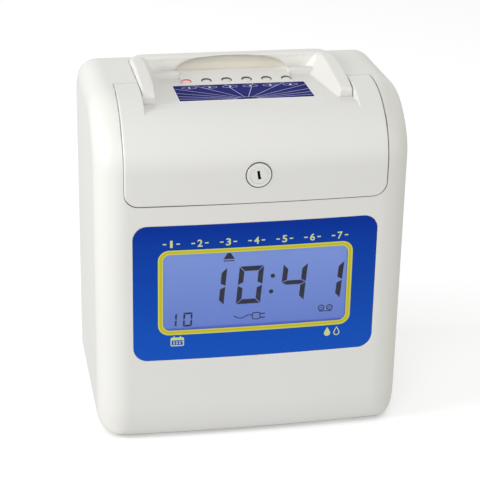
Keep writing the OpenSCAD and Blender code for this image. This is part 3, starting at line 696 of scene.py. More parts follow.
# ---------------------------------------------------------------- throat: deck, arms, back wall, card slot
_ty = np.array([30, 34, 35, 36, 38, 40, 44, 48, 53, 58, 63, 68, 73, 78, 88, 98, 101, 104, 110.0])
_tz = np.array([203.0, 205.0, 205.5, 206.0, 206.85, 207.5, 208.4, 209.0, 209.8, 210.4, 210.95, 211.35, 211.7,
                211.9, 211.95, 211.75, 211.3, 210.6, 209.0])


def smooth_table(u, v, step=0.25, passes=14):
    g = np.arange(u[0], u[-1] + step, step)
    w = np.interp(g, u, v)
    for _ in range(passes * 3):
        w[1:-1] = (w[:-2] + 2 * w[1:-1] + w[2:]) / 4
    return g, w


TG, TW = smooth_table(_ty, _tz)
TW = TW - 0.05
TS = np.gradient(TW, TG)


KEY_Y = 73.5


def ramp_z(x, y):
    """surface of the tongue in front of the slot, a little arched across"""
    rise = 0.176 - 0.042 * np.minimum((x / 30) ** 2, 1.35)
    run = y - 67.4
    run = np.where(run < 1.5, np.maximum(run + 1.5, 0) ** 2 / 6, run)
    return 200.5 + rise * np.minimum(run, 19.4)


def throat(x, y, z):
    ax = np.abs(x)
    plan = throat_plan(x, y, 0)
    slope = np.interp(y, TG, TS)
    top = (z - np.interp(y, TG, TW) + 0.9 * sstep((ax - 52) / 12) * sstep((y - 84) / 12)) / np.sqrt(1 + slope ** 2)
    body = rmax(plan, top, 1.5 + 2.2 * sstep((y - 84) / 14))
    body = np.maximum(body, 197.5 - z)
    # tray between the arms
    t = np.clip((y - 31) / 61, 0, 1)
    side = (ax - (55 - 9 * t + 0.76 * t * (z - 200.5))) / np.sqrt(1 + (0.76 * t) ** 2 + 0.02)
    tray = rmax(side, 200.5 - z, 1.0)
    tray = rmax(tray, y - 92.9 + 0.12 * (z - 203), 0.8)
    tray = np.maximum(tray, 20 - y)
    body = rmax(body, -tray, 0.7 + 1.9 * sstep((y - 84) / 9))
    # tongue that rises to the slot, and a step on each side of it
    tongue = rmax((z - ramp_z(x, y)) * 0.985, ax - 34, 0.7)
    tongue = np.maximum(tongue, np.maximum(66 - y, y - 88))
    body = rmin(body, np.maximum(tongue, 198 - z), 0.5)
    step = rmax(rmax(slab(ax, 33.4, 50), z - 204.1, 0.6), 81.6 - y, 0.8)
    body = rmin(body, np.maximum(step, np.maximum(y - 88, 198 - z)), 0.25)
    # slot walls, legs and key-board posts below the deck
    low = block(x, y, z, (-47, 85.5, 191.3), (47, 96, 199), 0.3)
    low = np.minimum(low, block(ax, y, z, (59.9, 38, 187.5), (62.4, 90, 199.5), 0.3))
    low = np.minimum(low, block(ax, y, z, (53.5, 58, 187.5), (61, 82, 190), 0.3))
    low = np.minimum(low, rod(ax - 38, y - KEY_Y, z, 2, 191, 199.5))
    body = np.minimum(body, low)
    # slot, its front lip drawn in for the card
    slot = rect(x, y, -43.4, 43.4, 88, 92.4, 0.5)
    body = rmax(body, -slot, 0.4 + 1.1 * sstep((90.2 - y) / 1.6))
    # finger scoop in the back wall, a flat arch with soft edges
    u, w = ax / 34.5, np.maximum(z - 198, 0) / 12.8
    k = np.maximum(u ** 2.6 + w ** 2.6, 1e-6) ** (1 / 2.6)
    steep = np.hypot((u / k) ** 1.6 / 34.5, (w / k) ** 1.6 / 12.8)
    scoop = rmax((k - 1) / np.maximum(steep, 0.02), y - 98 + 0.2 * np.maximum(z - 205, 0), 2.5)
    scoop = np.maximum(scoop, np.maximum(201.6 - z, 88 - y))
    body = rmax(body, -scoop, 1.0 + 1.2 * sstep((ax - 14) / 18))
    # key holes
    kx = ax - 12.3 * (np.clip(np.floor(ax / 12.3), 0, 2) + 0.5)
    body = rmax(body, -np.maximum(np.hypot(kx, y - KEY_Y) - 3.1, 190 - z), 0.22)
    body = np.maximum(body, -rod(y - HY, z - HZ, ax, 1.55, 58.2, 70))
    return np.maximum(body, -rod(ax - 56.5, y - 70, z, 1.6, 180, 194))


tx = mirror_lines(63.2, 0.9, [(33.2, 35, 0.35), (42.6, 44.2, 0.35), (60.8, 63.2, 0.45), (0, 36, 0.62)])
ty_ = lines(34, 104, 1.0, [(34, 38, 0.4), (69.5, 77.5, 0.48), (81, 83, 0.35), (85.5, 99, 0.45)])
tz_ = lines(186.8, 213, 1.0, [(198, 213, 0.55), (199.8, 201.8, 0.3), (203.2, 204.6, 0.3)])
throat_body = surface("card_throat_body", throat, tx, ty_, tz_, M["white_top"])
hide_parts("card_throat")
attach(throat_body, "case")


# ---------------------------------------------------------------- turned parts
def lathe(name, profile, centre, axis, mat, seg=64, cap=True):
    """closed turned solid: profile is (radius, height) from the axis at one end to the axis at the other"""
    bm = bmesh.new()
    axis = Vector(axis).normalized()
    side = axis.orthogonal().normalized()
    other = axis.cross(side)
    rings = []
    for r, h in profile:
        if r < 1e-6:
            rings.append([bm.verts.new(Vector(centre) + axis * h)])
        else:
            rings.append([bm.verts.new(Vector(centre) + axis * h + (side * math.cos(2 * math.pi * i / seg)
                          + other * math.sin(2 * math.pi * i / seg)) * r) for i in range(seg)])
    for a, b in zip(rings[:-1], rings[1:]):
        for i in range(seg):
            j = (i + 1) % seg
            if len(a) == 1 and len(b) > 1:
                bm.faces.new((a[0], b[j], b[i]))
            elif len(b) == 1 and len(a) > 1:
                bm.faces.new((a[i], a[j], b[0]))
            elif len(a) > 1:
                bm.faces.new((a[i], a[j], b[j], b[i]))
    bmesh.ops.remove_doubles(bm, verts=bm.verts, dist=1e-5)
    bmesh.ops.recalc_face_normals(bm, faces=bm.faces)
    for v in bm.verts:
        v.co = Vector(row(v.co))
    me = bpy.data.meshes.new(name)
    bm.to_mesh(me)
    bm.free()
    me.polygons.foreach_set("use_smooth", np.ones(len(me.polygons), bool))
    me.set_sharp_from_angle(angle=math.radians(40))
    me.materials.append(mat)
    return link(name, me)


def arc(cx, cy, r, a0, a1, n=6):
    return [(cx + r * math.cos(math.radians(a0 + (a1 - a0) * i / n)),
             cy + r * math.sin(math.radians(a0 + (a1 - a0) * i / n))) for i in range(n + 1)]


# keys: dished caps with rounded rims, a collar under the deck and a stem
for i in range(6):
    cx = (i - 2.5) * 12.3
    kz = float(ramp_z(np.float64(cx), np.float64(KEY_Y))) - 0.28
    prof = [(0, 195.0), (1.4, 195.0), (1.5, 195.1), (1.5, 196.6), (3.7, 196.6), (3.8, 196.7), (3.8, 197.7),
            (3.7, 197.8), (2.66, 197.8), (2.66, kz - 0.5)] + arc(2.16, kz - 0.5, 0.5, 0, 80, 6) + \
           [(1.8, kz), (1.3, kz - 0.05), (0.6, kz - 0.09), (0, kz - 0.1)]
    k = lathe(f"key_cap_{i + 1}", prof, (cx, KEY_Y, 0), (0, 0, 1), M["key"], 48)
    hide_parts(f"column_key_{i + 1}")
    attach(k, f"key_{i + 1}")

# ring of light round the first key, lining its hole in the deck
ring = lathe("key_light_ring", [(2.94, 198.0), (3.09, 198.0), (3.09, 200.98), (3.0, 201.02), (2.94, 200.96), (2.94, 198.0)],
             (-2.5 * 12.3, KEY_Y, 0), (0, 0, 1), M["glow"], 64)
for v in ring.data.vertices:
    if v.co.z > 0.2:
        v.co.z += 0.13 * (v.co.y - (KEY_Y + SY) / 1000)
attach(ring, "case")


# ---------------------------------------------------------------- lock
def lock_face(r):
    """height of the lock's outer face (towards the viewer is negative), with turned rings"""
    return -0.86 - 0.10 * (1 - (r / 7.3) ** 2)


prof = [(5.26, 11.5), (6.42, 11.5), (6.5, 11.42), (6.5, -0.05), (7.62, -0.05), (7.8, -0.12), (7.8, -0.30)]
prof += arc(7.42, -0.32, 0.38, 0, -70, 6)[1:]
prof += [(7.40, -0.58), (7.30, -0.50), (7.18, -0.56), (7.12, -0.72)] + arc(6.95, -0.72, 0.17, 0, -80, 4)[1:]
prof += [(6.6, lock_face(6.6)), (6.2, lock_face(6.2)), (6.1, lock_face(6.1) + 0.05), (5.95, lock_face(5.95) + 0.05),
         (5.85, lock_face(5.85)), (5.40, lock_face(5.4)), (5.26, lock_face(5.26) + 0.12), (5.26, 11.5)]
barrel = lathe("lock_barrel_turned", prof, (0, 0, 167), (0, 1, 0), M["lock"], 96)
# painted shade: the rim's outer faces take the dark ring material
barrel.data.materials.append(M["lock_dark"])
for poly in barrel.data.polygons:
    c = np.array(poly.center) * 1000 - np.array([0, SY, 167 + SZ])
    rr = math.hypot(c[0], c[2])
    if rr > 7.15 and c[1] > -0.9:
        poly.material_index = 1
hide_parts("lock_barrel")
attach(barrel, "door")


def plug(x, y, z):
    zz = z - 167
    r = np.hypot(x, zz)
    face = -0.74 - 0.02 * np.cos(r * 4.2) * (r < 4.6)
    d = rmax(r - 5.2, np.maximum(face - y, y - 11.8), 0.18)
    d = np.minimum(d, block(x, y, zz, (-2.4, 11, -2.4), (2.4, 13.4, 2.4), 0.2))
    c, s = math.cos(math.radians(8)), math.sin(math.radians(8))
    u, w = x * c + zz * s, -x * s + zz * c
    key = block(u, y, w, (-0.75, -5, -2.6), (0.75, 7, 2.6), 0.12)
    key = np.minimum(key, block(u, y, w, (0.4, -5, -2.35), (1.15, 7, -1.35), 0.1))
    return rmax(d, -key, 0.14)


plug_turned = surface("lock_plug_turned", plug, mirror_lines(5.6, 0.5, [(0, 1.5, 0.14), (4.6, 5.6, 0.2), (2.1, 2.6, 0.2)]),
                      lines(-1.1, 13.8, 0.8, [(-1.1, -0.2, 0.1), (10.6, 13.8, 0.25)]),
                      lines(161.4, 172.6, 0.5, [(163.9, 166, 0.16), (168.6, 170, 0.16), (161.4, 162.6, 0.2), (171.4, 172.6, 0.2)]),
                      [M["lock"], M["black"]])
# painted shade: the keyway's inner faces take the black plastic
for poly in plug_turned.data.polygons:
    c = np.array(poly.center) * 1000 - np.array([0, SY, 167 + SZ])
    if c[1] > -0.62 and abs(c[0]) < 1.5 and abs(c[2]) < 2.9 and c[1] < 9:
        poly.material_index = 1
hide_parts("lock_plug")
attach(plug_turned, "lock_core")


# ---------------------------------------------------------------- display panel
def lens(x, y, z):
    yy = y - crown(x)
    return rmax(rect(x, z, -72.4, 72.4, 51.86, 137.66, 8.6), slab(yy, 0.1, 1.4), 0.3)


lx = mirror_lines(73, 2.4, [(56, 57.4, 0.45), (62, 73, 0.5)])
lz = lines(51.4, 138.2, 2.4, [(51.4, 61, 0.5), (69.4, 70.4, 0.45), (120.6, 121.6, 0.45), (129, 138.2, 0.5)])
panel = surface("display_panel", lens, lx, lines(-0.3, 4.2, 0.28), lz, [M["panel"], M["clear"]])
for poly in panel.data.polygons:
    c = poly.center
    if rect(c.x * 1000, c.z * 1000 - SZ, -56.6, 56.6, 69.8, 121.2, 5) < 0:
        poly.material_index = 1
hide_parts("display_lens")
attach(panel, "case")


def outline(u0, u1, v0, v1, r, nu=1, nv=1, arc_n=10):
    """points round a rounded rectangle, with nu and nv spans along its straight sides"""
    pts = []

    def run(a, b, n):
        for i in range(n):
            t = i / n
            pts.append((a[0] + (b[0] - a[0]) * t, a[1] + (b[1] - a[1]) * t))

    def turn(cx, cy, a):
        for i in range(arc_n):
            t = math.radians(a + 90 * i / arc_n)
            pts.append((cx + r * math.cos(t), cy + r * math.sin(t)))
    run((u0 + r, v0), (u1 - r, v0), nu)
    turn(u1 - r, v0 + r, -90)
    run((u1, v0 + r), (u1, v1 - r), nv)
    turn(u1 - r, v1 - r, 0)
    run((u1 - r, v1), (u0 + r, v1), nu)
    turn(u0 + r, v1 - r, 90)
    run((u0, v1 - r), (u0, v0 + r), nv)
    turn(u0 + r, v0 + r, 180)
    return pts


def front_place(lift, thick, base=0.1):
    """maps (u, v, w) with w 0 at the back and 1 at the front onto the crowned panel"""
    def place(u, v, w):
        return (u, base + crown(u) + thick - (thick + lift) * w, v)
    return place


def flat_place(y0, y1):
    def place(u, v, w):
        return (u, y0 + (y1 - y0) * w, v)
    return place


def deck_place(z0, z1):
    def place(u, v, w):
        return (u, v, z0 + (z1 - z0) * w)
    return place


def finish_mesh(name, bm, mat, smooth=False):
    bmesh.ops.remove_doubles(bm, verts=bm.verts, dist=1e-7)
    bmesh.ops.recalc_face_normals(bm, faces=bm.faces)
    me = bpy.data.meshes.new(name)
    bm.to_mesh(me)
    bm.free()
    if smooth:
        me.polygons.foreach_set("use_smooth", np.ones(len(me.polygons), bool))
        me.set_sharp_from_angle(angle=math.radians(40))
    me.materials.append(mat)
    return link(name, me)


def ring_print(name, outer, inner, place, mat):
    bm = bmesh.new()
    loops = [[bm.verts.new(Vector(row(place(u, v, w)))) for u, v in pts]
             for pts, w in ((outer, 1), (inner, 1), (inner, 0), (outer, 0))]
    n = len(outer)
    for a in range(4):
        p, q = loops[a], loops[(a + 1) % 4]
        for i in range(n):
            j = (i + 1) % n
            bm.faces.new((p[i], p[j], q[j], q[i]))
    return finish_mesh(name, bm, mat)


def prisms(name, polys, place, mat):
    """closed thin solids with the given outlines"""
    bm = bmesh.new()
    for pts in polys:
        top = [bm.verts.new(Vector(row(place(u, v, 1)))) for u, v in pts]
        bot = [bm.verts.new(Vector(row(place(u, v, 0)))) for u, v in pts]
        bm.faces.new(top)
        bm.faces.new(bot[::-1])
        for i in range(len(pts)):
            j = (i + 1) % len(pts)
            bm.faces.new((top[i], bot[i], bot[j], top[j]))
    bmesh.ops.triangulate(bm, faces=[f for f in bm.faces if len(f.verts) > 4])
    return finish_mesh(name, bm, mat)


def stroke(pts, width, round_ends=True):
    """outline of a line of even width through the points"""
    p = np.array(pts, float)
    d = np.gradient(p, axis=0)
    d /= np.linalg.norm(d, axis=1)[:, None]
    n = np.stack([-d[:, 1], d[:, 0]], 1) * width / 2
    left, right = list(map(tuple, p + n)), list(map(tuple, (p - n)[::-1]))
    if round_ends:
        tip1 = tuple(p[-1] + d[-1] * width / 2)
        tip0 = tuple(p[0] - d[0] * width / 2)
        return left + [tip1] + right + [tip0]
    return left + right


def print_on(ob, body):
    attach(ob, body)
    return ob


for nm, o, i, key, lift in (("window_border", 0.75, 2.3, "yellow", 0.045), ("window_border_outer", 0.0, 0.85, "yellow_pale", 0.05),
                            ("window_border_inner", 2.2, 2.9, "yellow_pale", 0.05)):
    print_on(ring_print(nm, outline(-58 + o, 58 - o, 68.3 + o, 122.5 - o * 0.93, 6.6 - o * 0.82, 48, 4),
                        outline(-58 + i, 58 - i, 68.3 + i, 122.5 - i * 0.93, 6.6 - i * 0.82, 48, 4), front_place(lift, 0.05), M[key]),
             "case")


def lettering(name, word, u0, u1, v0, v1, place, mat, bold=0.0, spacing=1.0):
    cu = bpy.data.curves.new(name + "_curve", "FONT")
    cu.body, cu.size, cu.extrude, cu.offset = word, 1.0, 0.5, bold
    cu.resolution_u, cu.space_character = 4, spacing
    ob = link(name + "_curve", cu)
    bpy.context.view_layer.update()
    me = bpy.data.meshes.new_from_object(ob.evaluated_get(bpy.context.evaluated_depsgraph_get()))
    bpy.data.objects.remove(ob)
    bpy.data.curves.remove(cu)
    bm = bmesh.new()
    bm.from_mesh(me)
    bpy.data.meshes.remove(me)
    co = np.array([v.co for v in bm.verts])
    lo, hi = co.min(0), co.max(0)
    for v in bm.verts:
        t = [(v.co[a] - lo[a]) / (hi[a] - lo[a]) for a in range(3)]
        v.co = Vector(row(place(u0 + (u1 - u0) * t[0], v0 + (v1 - v0) * t[1], t[2])))
    return finish_mesh(name, bm, mat)


on_panel = front_place(0.03, 0.04)


def ellipse(cx, cz, a, b, n=32):
    return [(cx + a * math.cos(2 * math.pi * i / n), cz + b * math.sin(2 * math.pi * i / n)) for i in range(n)]


# row of day numbers above the window, each between two short bars
for i in range(7):
    cu = -50.2 + 16.65 * i
    half = 0.75 if i == 0 else 1.5
    print_on(lettering(f"day_number_{i + 1}", str(i + 1), cu - half, cu + half, 124.2, 128.7, on_panel, M["print"], bold=0.02),
             "case")
    bars = [[(cu + s * 2.9, 126.1), (cu + s * 5.0, 126.1), (cu + s * 5.0, 126.85), (cu + s * 2.9, 126.85)] for s in (-1, 1)]
    print_on(prisms(f"day_bars_{i + 1}", bars, on_panel, M["print"]), "case")

# page of a calendar under the left end of the window
page_o, page_i = outline(-50.6, -42.6, 60.9, 66.6, 0.9), outline(-49.95, -43.25, 61.55, 64.75, 0.35)
print_on(ring_print("mark_calendar_page", page_o, page_i, on_panel, M["print"]), "case")
grid = [[(-49.0 + 1.72 * c + a, 62.15 + 1.15 * r + b_) for a, b_ in ((0, 0), (0.95, 0), (0.95, 0.7), (0, 0.7))]
        for c in range(4) for r in range(2) if (c, r) != (3, 0)]
grid += [[(u - 0.32, 66.3), (u + 0.32, 66.3), (u + 0.32, 67.5), (u - 0.32, 67.5)] for u in (-48.5, -44.7)]
print_on(prisms("mark_calendar_days", grid, on_panel, M["print"]), "case")


def drop(cx, z0, r, h, n=24):
    """outline of a drop of ink standing on z0"""
    pts = []
    for i in range(n + 1):
        t = math.radians(-215 + 250 * i / n)
        pts.append((cx + r * math.cos(t), z0 + r + r * math.sin(t)))
    return pts + [(cx + r * 0.28, z0 + h * 0.86), (cx, z0 + h), (cx - r * 0.28, z0 + h * 0.86)]


# two drops of ink under the right end: one full, one open
print_on(prisms("mark_ink_full", [drop(44.4, 61.1, 1.95, 5.9)], on_panel, M["print"]), "case")
print_on(ring_print("mark_ink_open", drop(50.2, 61.1, 1.95, 5.9), drop(50.2, 61.72, 1.33, 4.3), on_panel, M["print"]),
         "case")


# ---------------------------------------------------------------- liquid crystal display
def cell(x, y, z):
    front = block(x, y, z, (-56.2, 2.8, 70.0), (56.2, 3.9, 121.0), 0.12)
    back = block(x, y, z, (-56.2, 3.84, 70.0), (56.2, 5.0, 119.0), 0.12)
    return np.minimum(front, back)


glass = surface("display_cell", cell, mirror_lines(56.6, 6, [(55.6, 56.6, 0.2)]), lines(2.5, 5.3, 0.16),
                lines(69.6, 121.4, 6, [(69.6, 70.5, 0.2), (118.5, 121.4, 0.2)]), M["lcd"])
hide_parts("lcd_glass")
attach(glass, "case")

SEGMENTS = {"0": "abcdef", "1": "bc", "4": "bcfg"}


def digit(ch, right, bottom, w, h, t, gap, slant):
    """outlines of a seven-segment figure; right is its right edge at the bottom"""
    m, g = h / 2, gap
    shape = {
        "a": [(g, h), (w - g, h), (w - t - g, h - t), (t + g, h - t)],
        "d": [(g, 0), (t + g, t), (w - t - g, t), (w - g, 0)],
        "b": [(w, h - g), (w, m + g), (w - t, m + t / 2 + g), (w - t, h - t - g)],
        "c": [(w, g), (w, m - g), (w - t, m - t / 2 - g), (w - t, t + g)],
        "f": [(0, h - g), (t, h - t - g), (t, m + t / 2 + g), (0, m + g)],
        "e": [(0, g), (0, m - g), (t, m - t / 2 - g), (t, t + g)],
        "g": [(g, m), (t + g / 2, m + t / 2 - g / 2), (w - t - g / 2, m + t / 2 - g / 2), (w - g, m),
              (w - t - g / 2, m - t / 2 + g / 2), (t + g / 2, m - t / 2 + g / 2)]}
    return [[(right - w + u + slant * v, bottom + v) for u, v in shape[s]] for s in SEGMENTS[ch]]


def disc(cx, cz, r, n=28):
    return [(cx + r * math.cos(2 * math.pi * i / n), cz + r * math.sin(2 * math.pi * i / n)) for i in range(n)]


BH, BT = 24.2, 3.05
marks = []
for ch, right in (("1", -18.9), ("0", 3.1), ("4", 29.4), ("1", 51.5)):
    marks += digit(ch, right, 85.1, 14.6, BH, BT, 0.32, 0.083)
marks += [disc(10.4, 102.2, 1.35), disc(9.6, 92.1, 1.35)]
marks += [[(-16.9, 118.4), (-19.3, 114.5), (-12.6, 114.5), (-15.0, 118.4)], [(-19.2, 113.1), (-12.75, 113.1), (-12.75, 113.7), (-19.2, 113.7)]]
for ch, right in (("1", -46.95), ("0", -37.7)):
    marks += digit(ch, right, 72.6, 5.4, 9.1, 1.1, 0.16, 0.05)
wave = [(-12.6 + 11.1 * i / 24, 76.75 + 0.95 * math.sin(2.3 + 6.6 * i / 24)) for i in range(25)]
marks += [stroke(wave, 0.55)]
marks += [stroke([(3.5, 78.1), (4.8, 78.1), (6.2, 78.1)], 0.7), stroke([(3.4, 75.5), (4.8, 75.5), (6.1, 75.5)], 0.7)]
on_cell = flat_place(2.82, 2.77)
print_on(prisms("display_figures", marks, on_cell, M["segment"]), "case")
plug_out, plug_in = outline(-1.7, 3.6, 74.4, 79.2, 1.5), outline(-1.1, 3.0, 75.0, 78.6, 0.9)
print_on(ring_print("display_plug_mark", plug_out, plug_in, on_cell, M["segment"]), "case")
for nm, u in (("display_spool_left", 40.5), ("display_spool_right", 45.6)):
    print_on(ring_print(nm, disc(u, 79.4, 1.95), disc(u, 79.4, 1.3), on_cell, M["segment"]), "case")
spool = [disc(40.5, 79.4, 0.5, 12), disc(45.6, 79.4, 0.5, 12), stroke([(39.2, 77.1), (43.0, 77.1), (46.9, 77.1)], 0.5)]
print_on(prisms("display_spool_tape", spool, on_cell, M["segment"]), "case")
print_on(ring_print("display_edge_shade", outline(-56.1, 56.1, 70.1, 120.9, 0.8), outline(-54.9, 55.0, 71.9, 119.4, 0.6),
                    flat_place(2.81, 2.785), M["lcd_edge"]), "case")


# ---------------------------------------------------------------- printed film on the deck
film = prisms("deck_film", [outline(-40.5, 40.5, 36, 67.1, 1.0)], deck_place(200.5, 200.66), M["film"])
print_on(film, "case")
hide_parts("deck_label")
ink = prisms("deck_film_ink", [outline(-40.05, 40.05, 36.8, 66.75, 0.9)], deck_place(200.64, 200.70), M["indigo"])
print_on(ink, "case")
rays, hub = [], (0.0, 36.85)
for a in (-84, -77, -69, -59, -43, -16, 16, 43, 59, 69, 77, 84):
    s, c = math.sin(math.radians(a)), math.cos(math.radians(a))
    far = min(29.6 / max(c, 1e-6), 39.7 / max(abs(s), 1e-6))
    near = 1 / math.hypot(s / 7.3, c / 3.8)
    p0, p1 = (hub[0] + s * near, hub[1] + c * near), (hub[0] + s * far, hub[1] + c * far)
    n0, n1 = 0.16, 0.22
    rays.append([(p0[0] - c * n0, p0[1] + s * n0), (p1[0] - c * n1, min(66.6, p1[1] + s * n1)),
                 (p1[0] + c * n1, min(66.6, p1[1] - s * n1)), (p0[0] + c * n0, p0[1] - s * n0)])
print_on(prisms("deck_film_rays", rays, deck_place(200.68, 200.715), M["pale_print"]), "case")
hub_o = [(7.4 * math.cos(math.pi * k / 32), 36.95 + 3.9 * math.sin(math.pi * k / 32)) for k in range(33)]
hub_i = [(7.05 * math.cos(math.pi * k / 32), 36.95 + 3.55 * math.sin(math.pi * k / 32)) for k in range(32, -1, -1)]
print_on(prisms("deck_film_hub", [hub_o + hub_i], deck_place(200.68, 200.72), M["pale_print"]), "case")
for i in range(6):
    cx = (i - 2.5) * 12.3
    ov = [[(cx + a * math.cos(2 * math.pi * k / 48), 61.9 + b * math.sin(2 * math.pi * k / 48)) for k in range(48)]
          for a, b in ((4.6, 2.3), (4.25, 1.95))]
    patch = [(cx + 4.4 * math.cos(2 * math.pi * k / 48), 61.9 + 2.1 * math.sin(2 * math.pi * k / 48)) for k in range(48)]
    print_on(prisms(f"deck_film_patch_{i + 1}", [patch], deck_place(200.69, 200.72), M["indigo"]), "case")
    print_on(ring_print(f"deck_film_oval_{i + 1}", ov[0], ov[1], deck_place(200.69, 200.735), M["pale_print"]), "case")
    print_on(lettering(f"deck_film_figure_{i + 1}", str(i + 1), cx - (0.4 if i == 0 else 0.8), cx + (0.4 if i == 0 else 0.8), 60.6, 63.2,
                       deck_place(200.69, 200.735), M["film"], bold=0.03), "case")


# ---------------------------------------------------------------- rear cover, feet, inlet
def rear(x, y, z):
    ax = np.abs(x)
    d = rmax(rect(x, z, -81.7, 81.7, 8.6, 172.0, 5.7), slab(y, 127.5, 130), 0.45)
    # shallow panel pressed into the middle
    d = rmax(d, -np.maximum(rect(x, z, -68, 68, 60, 132, 4), 129.4 - y), 0.3)
    for zc in (16, 164):
        r = np.hypot(ax - 77, z - zc)
        d = rmax(d, 1.6 - r, 0.12)
        d = rmax(d, -np.maximum(r - 3, 128.7 - y), 0.2)
    hole = np.minimum(np.hypot(ax - 50, z - 140) - 4.5, np.maximum(np.abs(ax - 50) - 2.2, slab(z, 140, 149)))
    hole = np.minimum(hole, np.hypot(ax - 50, z - 149) - 2.2)
    d = rmax(d, -hole, 0.3)
    d = rmax(d, -rect(x, z, 53, 72, 14, 30, 0.3), 0.3)
    zi = z - 41 - 5 * np.clip(np.round((z - 41) / 5), 0, 6)
    d = rmax(d, -rect(x, zi, -74, -54, -1, 1, 0.6), 0.25)
    return d


rx = mirror_lines(82.4, 3.5, [(44.6, 55.4, 0.55), (55.4, 70, 2.2), (71.4, 82.4, 0.55), (53, 54, 0.35), (67, 69, 0.4)])
rz = lines(7.8, 172.8, 3.5, [(7.8, 20.5, 0.55), (29.4, 30.6, 0.4), (39.3, 72.7, 0.42), (131, 133, 0.4), (134.8, 152, 0.55),
                             (159.8, 172.8, 0.55)])
ry = lines(126.9, 130.6, 0.4)
rear_panel = surface("rear_panel", rear, rx, ry, rz, M["white_in"])
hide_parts("rear_cover")
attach(rear_panel, "case")


def inlet(x, y, z):
    d = block(x, y, z, (53.05, 110, 14.05), (71.95, 130, 29.95), 0.4)
    u = np.abs(x - 62.5)
    hole = np.minimum(np.hypot(u - 4.3, z - 22) - 4.4, np.maximum(u - 4.3, np.abs(z - 22) - 3.8))
    hole = np.maximum(hole, 119 - y)
    d = rmax(d, -hole, 0.35)
    return np.maximum(d, 1.2 - np.hypot(u - 4.3, z - 22))


inlet_body = surface("inlet_body", inlet, lines(52.6, 72.4, 0.45), lines(109.5, 130.5, 2, [(109.5, 111, 0.3), (118.4, 119.6, 0.3), (129, 130.5, 0.2)]),
                     lines(13.6, 30.4, 0.45), M["black"])
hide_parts("power_inlet")
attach(inlet_body, "case")

foot = [(0, -1.0), (1.9, -1.0), (2.0, -1.1), (2.0, -1.85), (2.15, -2.0), (6.4, -2.0)] + arc(6.4, -1.4, 0.6, -90, 0, 5)[1:] + \
       [(6.85, -0.3), (6.7, 0.2), (0, 0.2)]
feet = []
for fx in (-70, 70):
    for fy in (22, 112):
        feet.append(lathe("foot_tmp", foot, (fx, fy, 0), (0, 0, 1), M["rubber"], 48))
bm = bmesh.new()
for f_ in feet:
    bm.from_mesh(f_.data)
    bpy.data.objects.remove(f_)
feet = finish_mesh("feet_moulded", bm, M["rubber"], smooth=True)
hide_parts("rubber_feet")
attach(feet, "case")


# ---------------------------------------------------------------- finishes of the parts kept from the frame
FINISH = {
    "white_in": ["base_plate"],
    "rubber": ["feed_rollers", "pinch_rollers"],
    "zinc": ["base_screws", "cover_screws", "lock_nut", "lock_cam", "throat_screws", "board_screws"],
    "ground": ["hinge_pins", "guide_rod", "lead_screw", "feed_shaft", "pinch_shaft"],
    "green": ["key_board", "main_board", "power_board"],
    "black": ["key_switches", "processor", "buzzer", "card_guide_front", "card_guide_rear", "card_sensor",
              "carriage", "ribbon_cartridge"],
    "guide": ["backlight"],
    "grey": ["lcd_holder", "ribbon_knob"],
    "sheet": ["chassis", "card_stop"],
    "motor": ["carriage_motor", "print_head", "feed_motor"],
    "nylon": ["feed_gear"],
    "brass": ["motor_pinion", "inlet_pins"],
    "ribbon": ["ribbon"],
    "core": ["transformer"],
    "can": ["power_capacitor"],
    "cell": ["backup_battery"],
}
for key, names in FINISH.items():
    for n in names:
        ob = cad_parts[n]
        if not ob.material_slots:
            ob.data.materials.append(M[key])
        for s in ob.material_slots:
            s.material = M[key]


# ---------------------------------------------------------------- floor and light
FLOOR_GLOW = 0.225
bm = bmesh.new()
bmesh.ops.create_grid(bm, x_segments=24, y_segments=24, size=4.0)
me = bpy.data.meshes.new("floor")
bm.to_mesh(me)
bm.free()
floor = link("floor", me)
m, nt, b = new_mat("floor_pale")
n1 = noise(nt, 1.5, 3, 0.5)
nt.links.new(ramp(nt, n1, [(0.3, (0.895, 0.895, 0.895)), (0.7, (0.91, 0.91, 0.91))]), b.inputs["Base Color"])
b.inputs["Emission Color"].default_value = (1, 1, 1, 1)
b.inputs["Emission Strength"].default_value = FLOOR_GLOW
b.inputs["Roughness"].default_value = 0.9
b.inputs["Specular IOR Level"].default_value = 0.0
me.materials.append(m)
floor.visible_diffuse = False
floor.visible_glossy = False
floor.visible_transmission = False
floor.visible_shadow = False

world = bpy.data.worlds.new("studio")
scene.world = world
world.use_nodes = True
bg = world.node_tree.nodes["Background"]
bg.inputs[0].default_value = (1.0, 1.0, 1.0, 1)
wt = world.node_tree
wc, ws = wt.nodes.new("ShaderNodeTexCoord"), wt.nodes.new("ShaderNodeSeparateXYZ")
wt.links.new(wc.outputs["Generated"], ws.inputs[0])


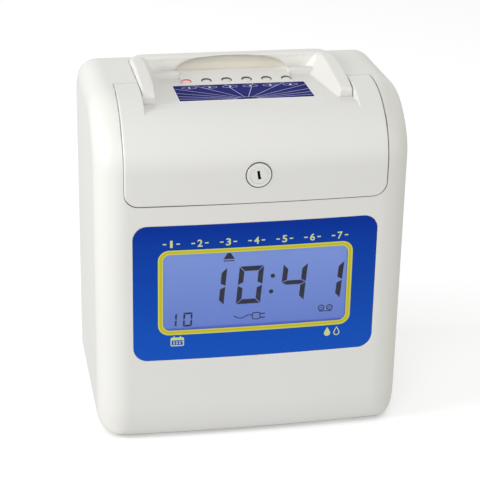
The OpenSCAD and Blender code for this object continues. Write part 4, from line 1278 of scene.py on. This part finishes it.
def sky_term(axis, sign, amount, old=None):
    """adds amount times the positive part of one direction of the surroundings"""
    r = wt.nodes.new("ShaderNodeMapRange")
    for i, v in zip((1, 2, 3, 4), (0.0, float(sign), 0.0, amount)):
        r.inputs[i].default_value = v
    wt.links.new(ws.outputs[axis], r.inputs[0])
    if old is None:
        return r.outputs[0]
    a = wt.nodes.new("ShaderNodeMath")
    wt.links.new(r.outputs[0], a.inputs[0])
    wt.links.new(old, a.inputs[1])
    return a.outputs[0]


# brightness of the upper surroundings: even, and more towards +X -X +Y -Y +Z; then that of the lower ones
SKY = (0.01, 0.44, 0.0, 0.88, 1.28, 0.26)
SKY_LOW = 0.585
sky = None
for k in range(5):
    sky = sky_term(k // 2, 1 if k % 2 == 0 else -1, SKY[k + 1], sky)
even, above, low_down, total = (wt.nodes.new("ShaderNodeMath") for _ in range(4))
even.inputs[1].default_value = SKY[0]
wt.links.new(sky, even.inputs[0])
up = wt.nodes.new("ShaderNodeMapRange")
for i, v in zip((1, 2, 3, 4), (-0.12, 0.12, 0.0, 1.0)):
    up.inputs[i].default_value = v
wt.links.new(ws.outputs[2], up.inputs[0])
above.operation = "MULTIPLY"
wt.links.new(even.outputs[0], above.inputs[0])
wt.links.new(up.outputs[0], above.inputs[1])
low_down.operation = "MULTIPLY_ADD"
low_down.inputs[1].default_value, low_down.inputs[2].default_value = -SKY_LOW, SKY_LOW
wt.links.new(up.outputs[0], low_down.inputs[0])
wt.links.new(above.outputs[0], total.inputs[0])
wt.links.new(low_down.outputs[0], total.inputs[1])
wt.links.new(total.outputs[0], bg.inputs[1])


def area(name, at, to, size, power, col=(1, 1, 1)):
    li = bpy.data.lights.new(name, "AREA")
    li.shape, li.size, li.energy, li.color = "DISK", size, power, col
    ob = link(name, li)
    ob.location = at
    ob.rotation_euler = (Vector(to) - Vector(at)).to_track_quat("-Z", "Y").to_euler()
    return ob


area("key_light", (-0.55, -1.25, 0.85), (0, 0, 0.1), 0.9, 2.3)
area("left_light", (-1.4, -0.15, 0.55), (0, 0, 0.1), 0.8, 15.4)
area("glint_low", (1.311, -0.438, 0.374), (0.08, -0.058, 0.18), 0.06, 0.35)
area("glint_high", (1.204, 0.042, 0.847), (0.08, -0.05, 0.194), 0.05, 0.30)
scene.view_settings.view_transform = "Standard"
scene.view_settings.look = "None"
scene.view_settings.exposure = 0
scene.view_settings.gamma = 1
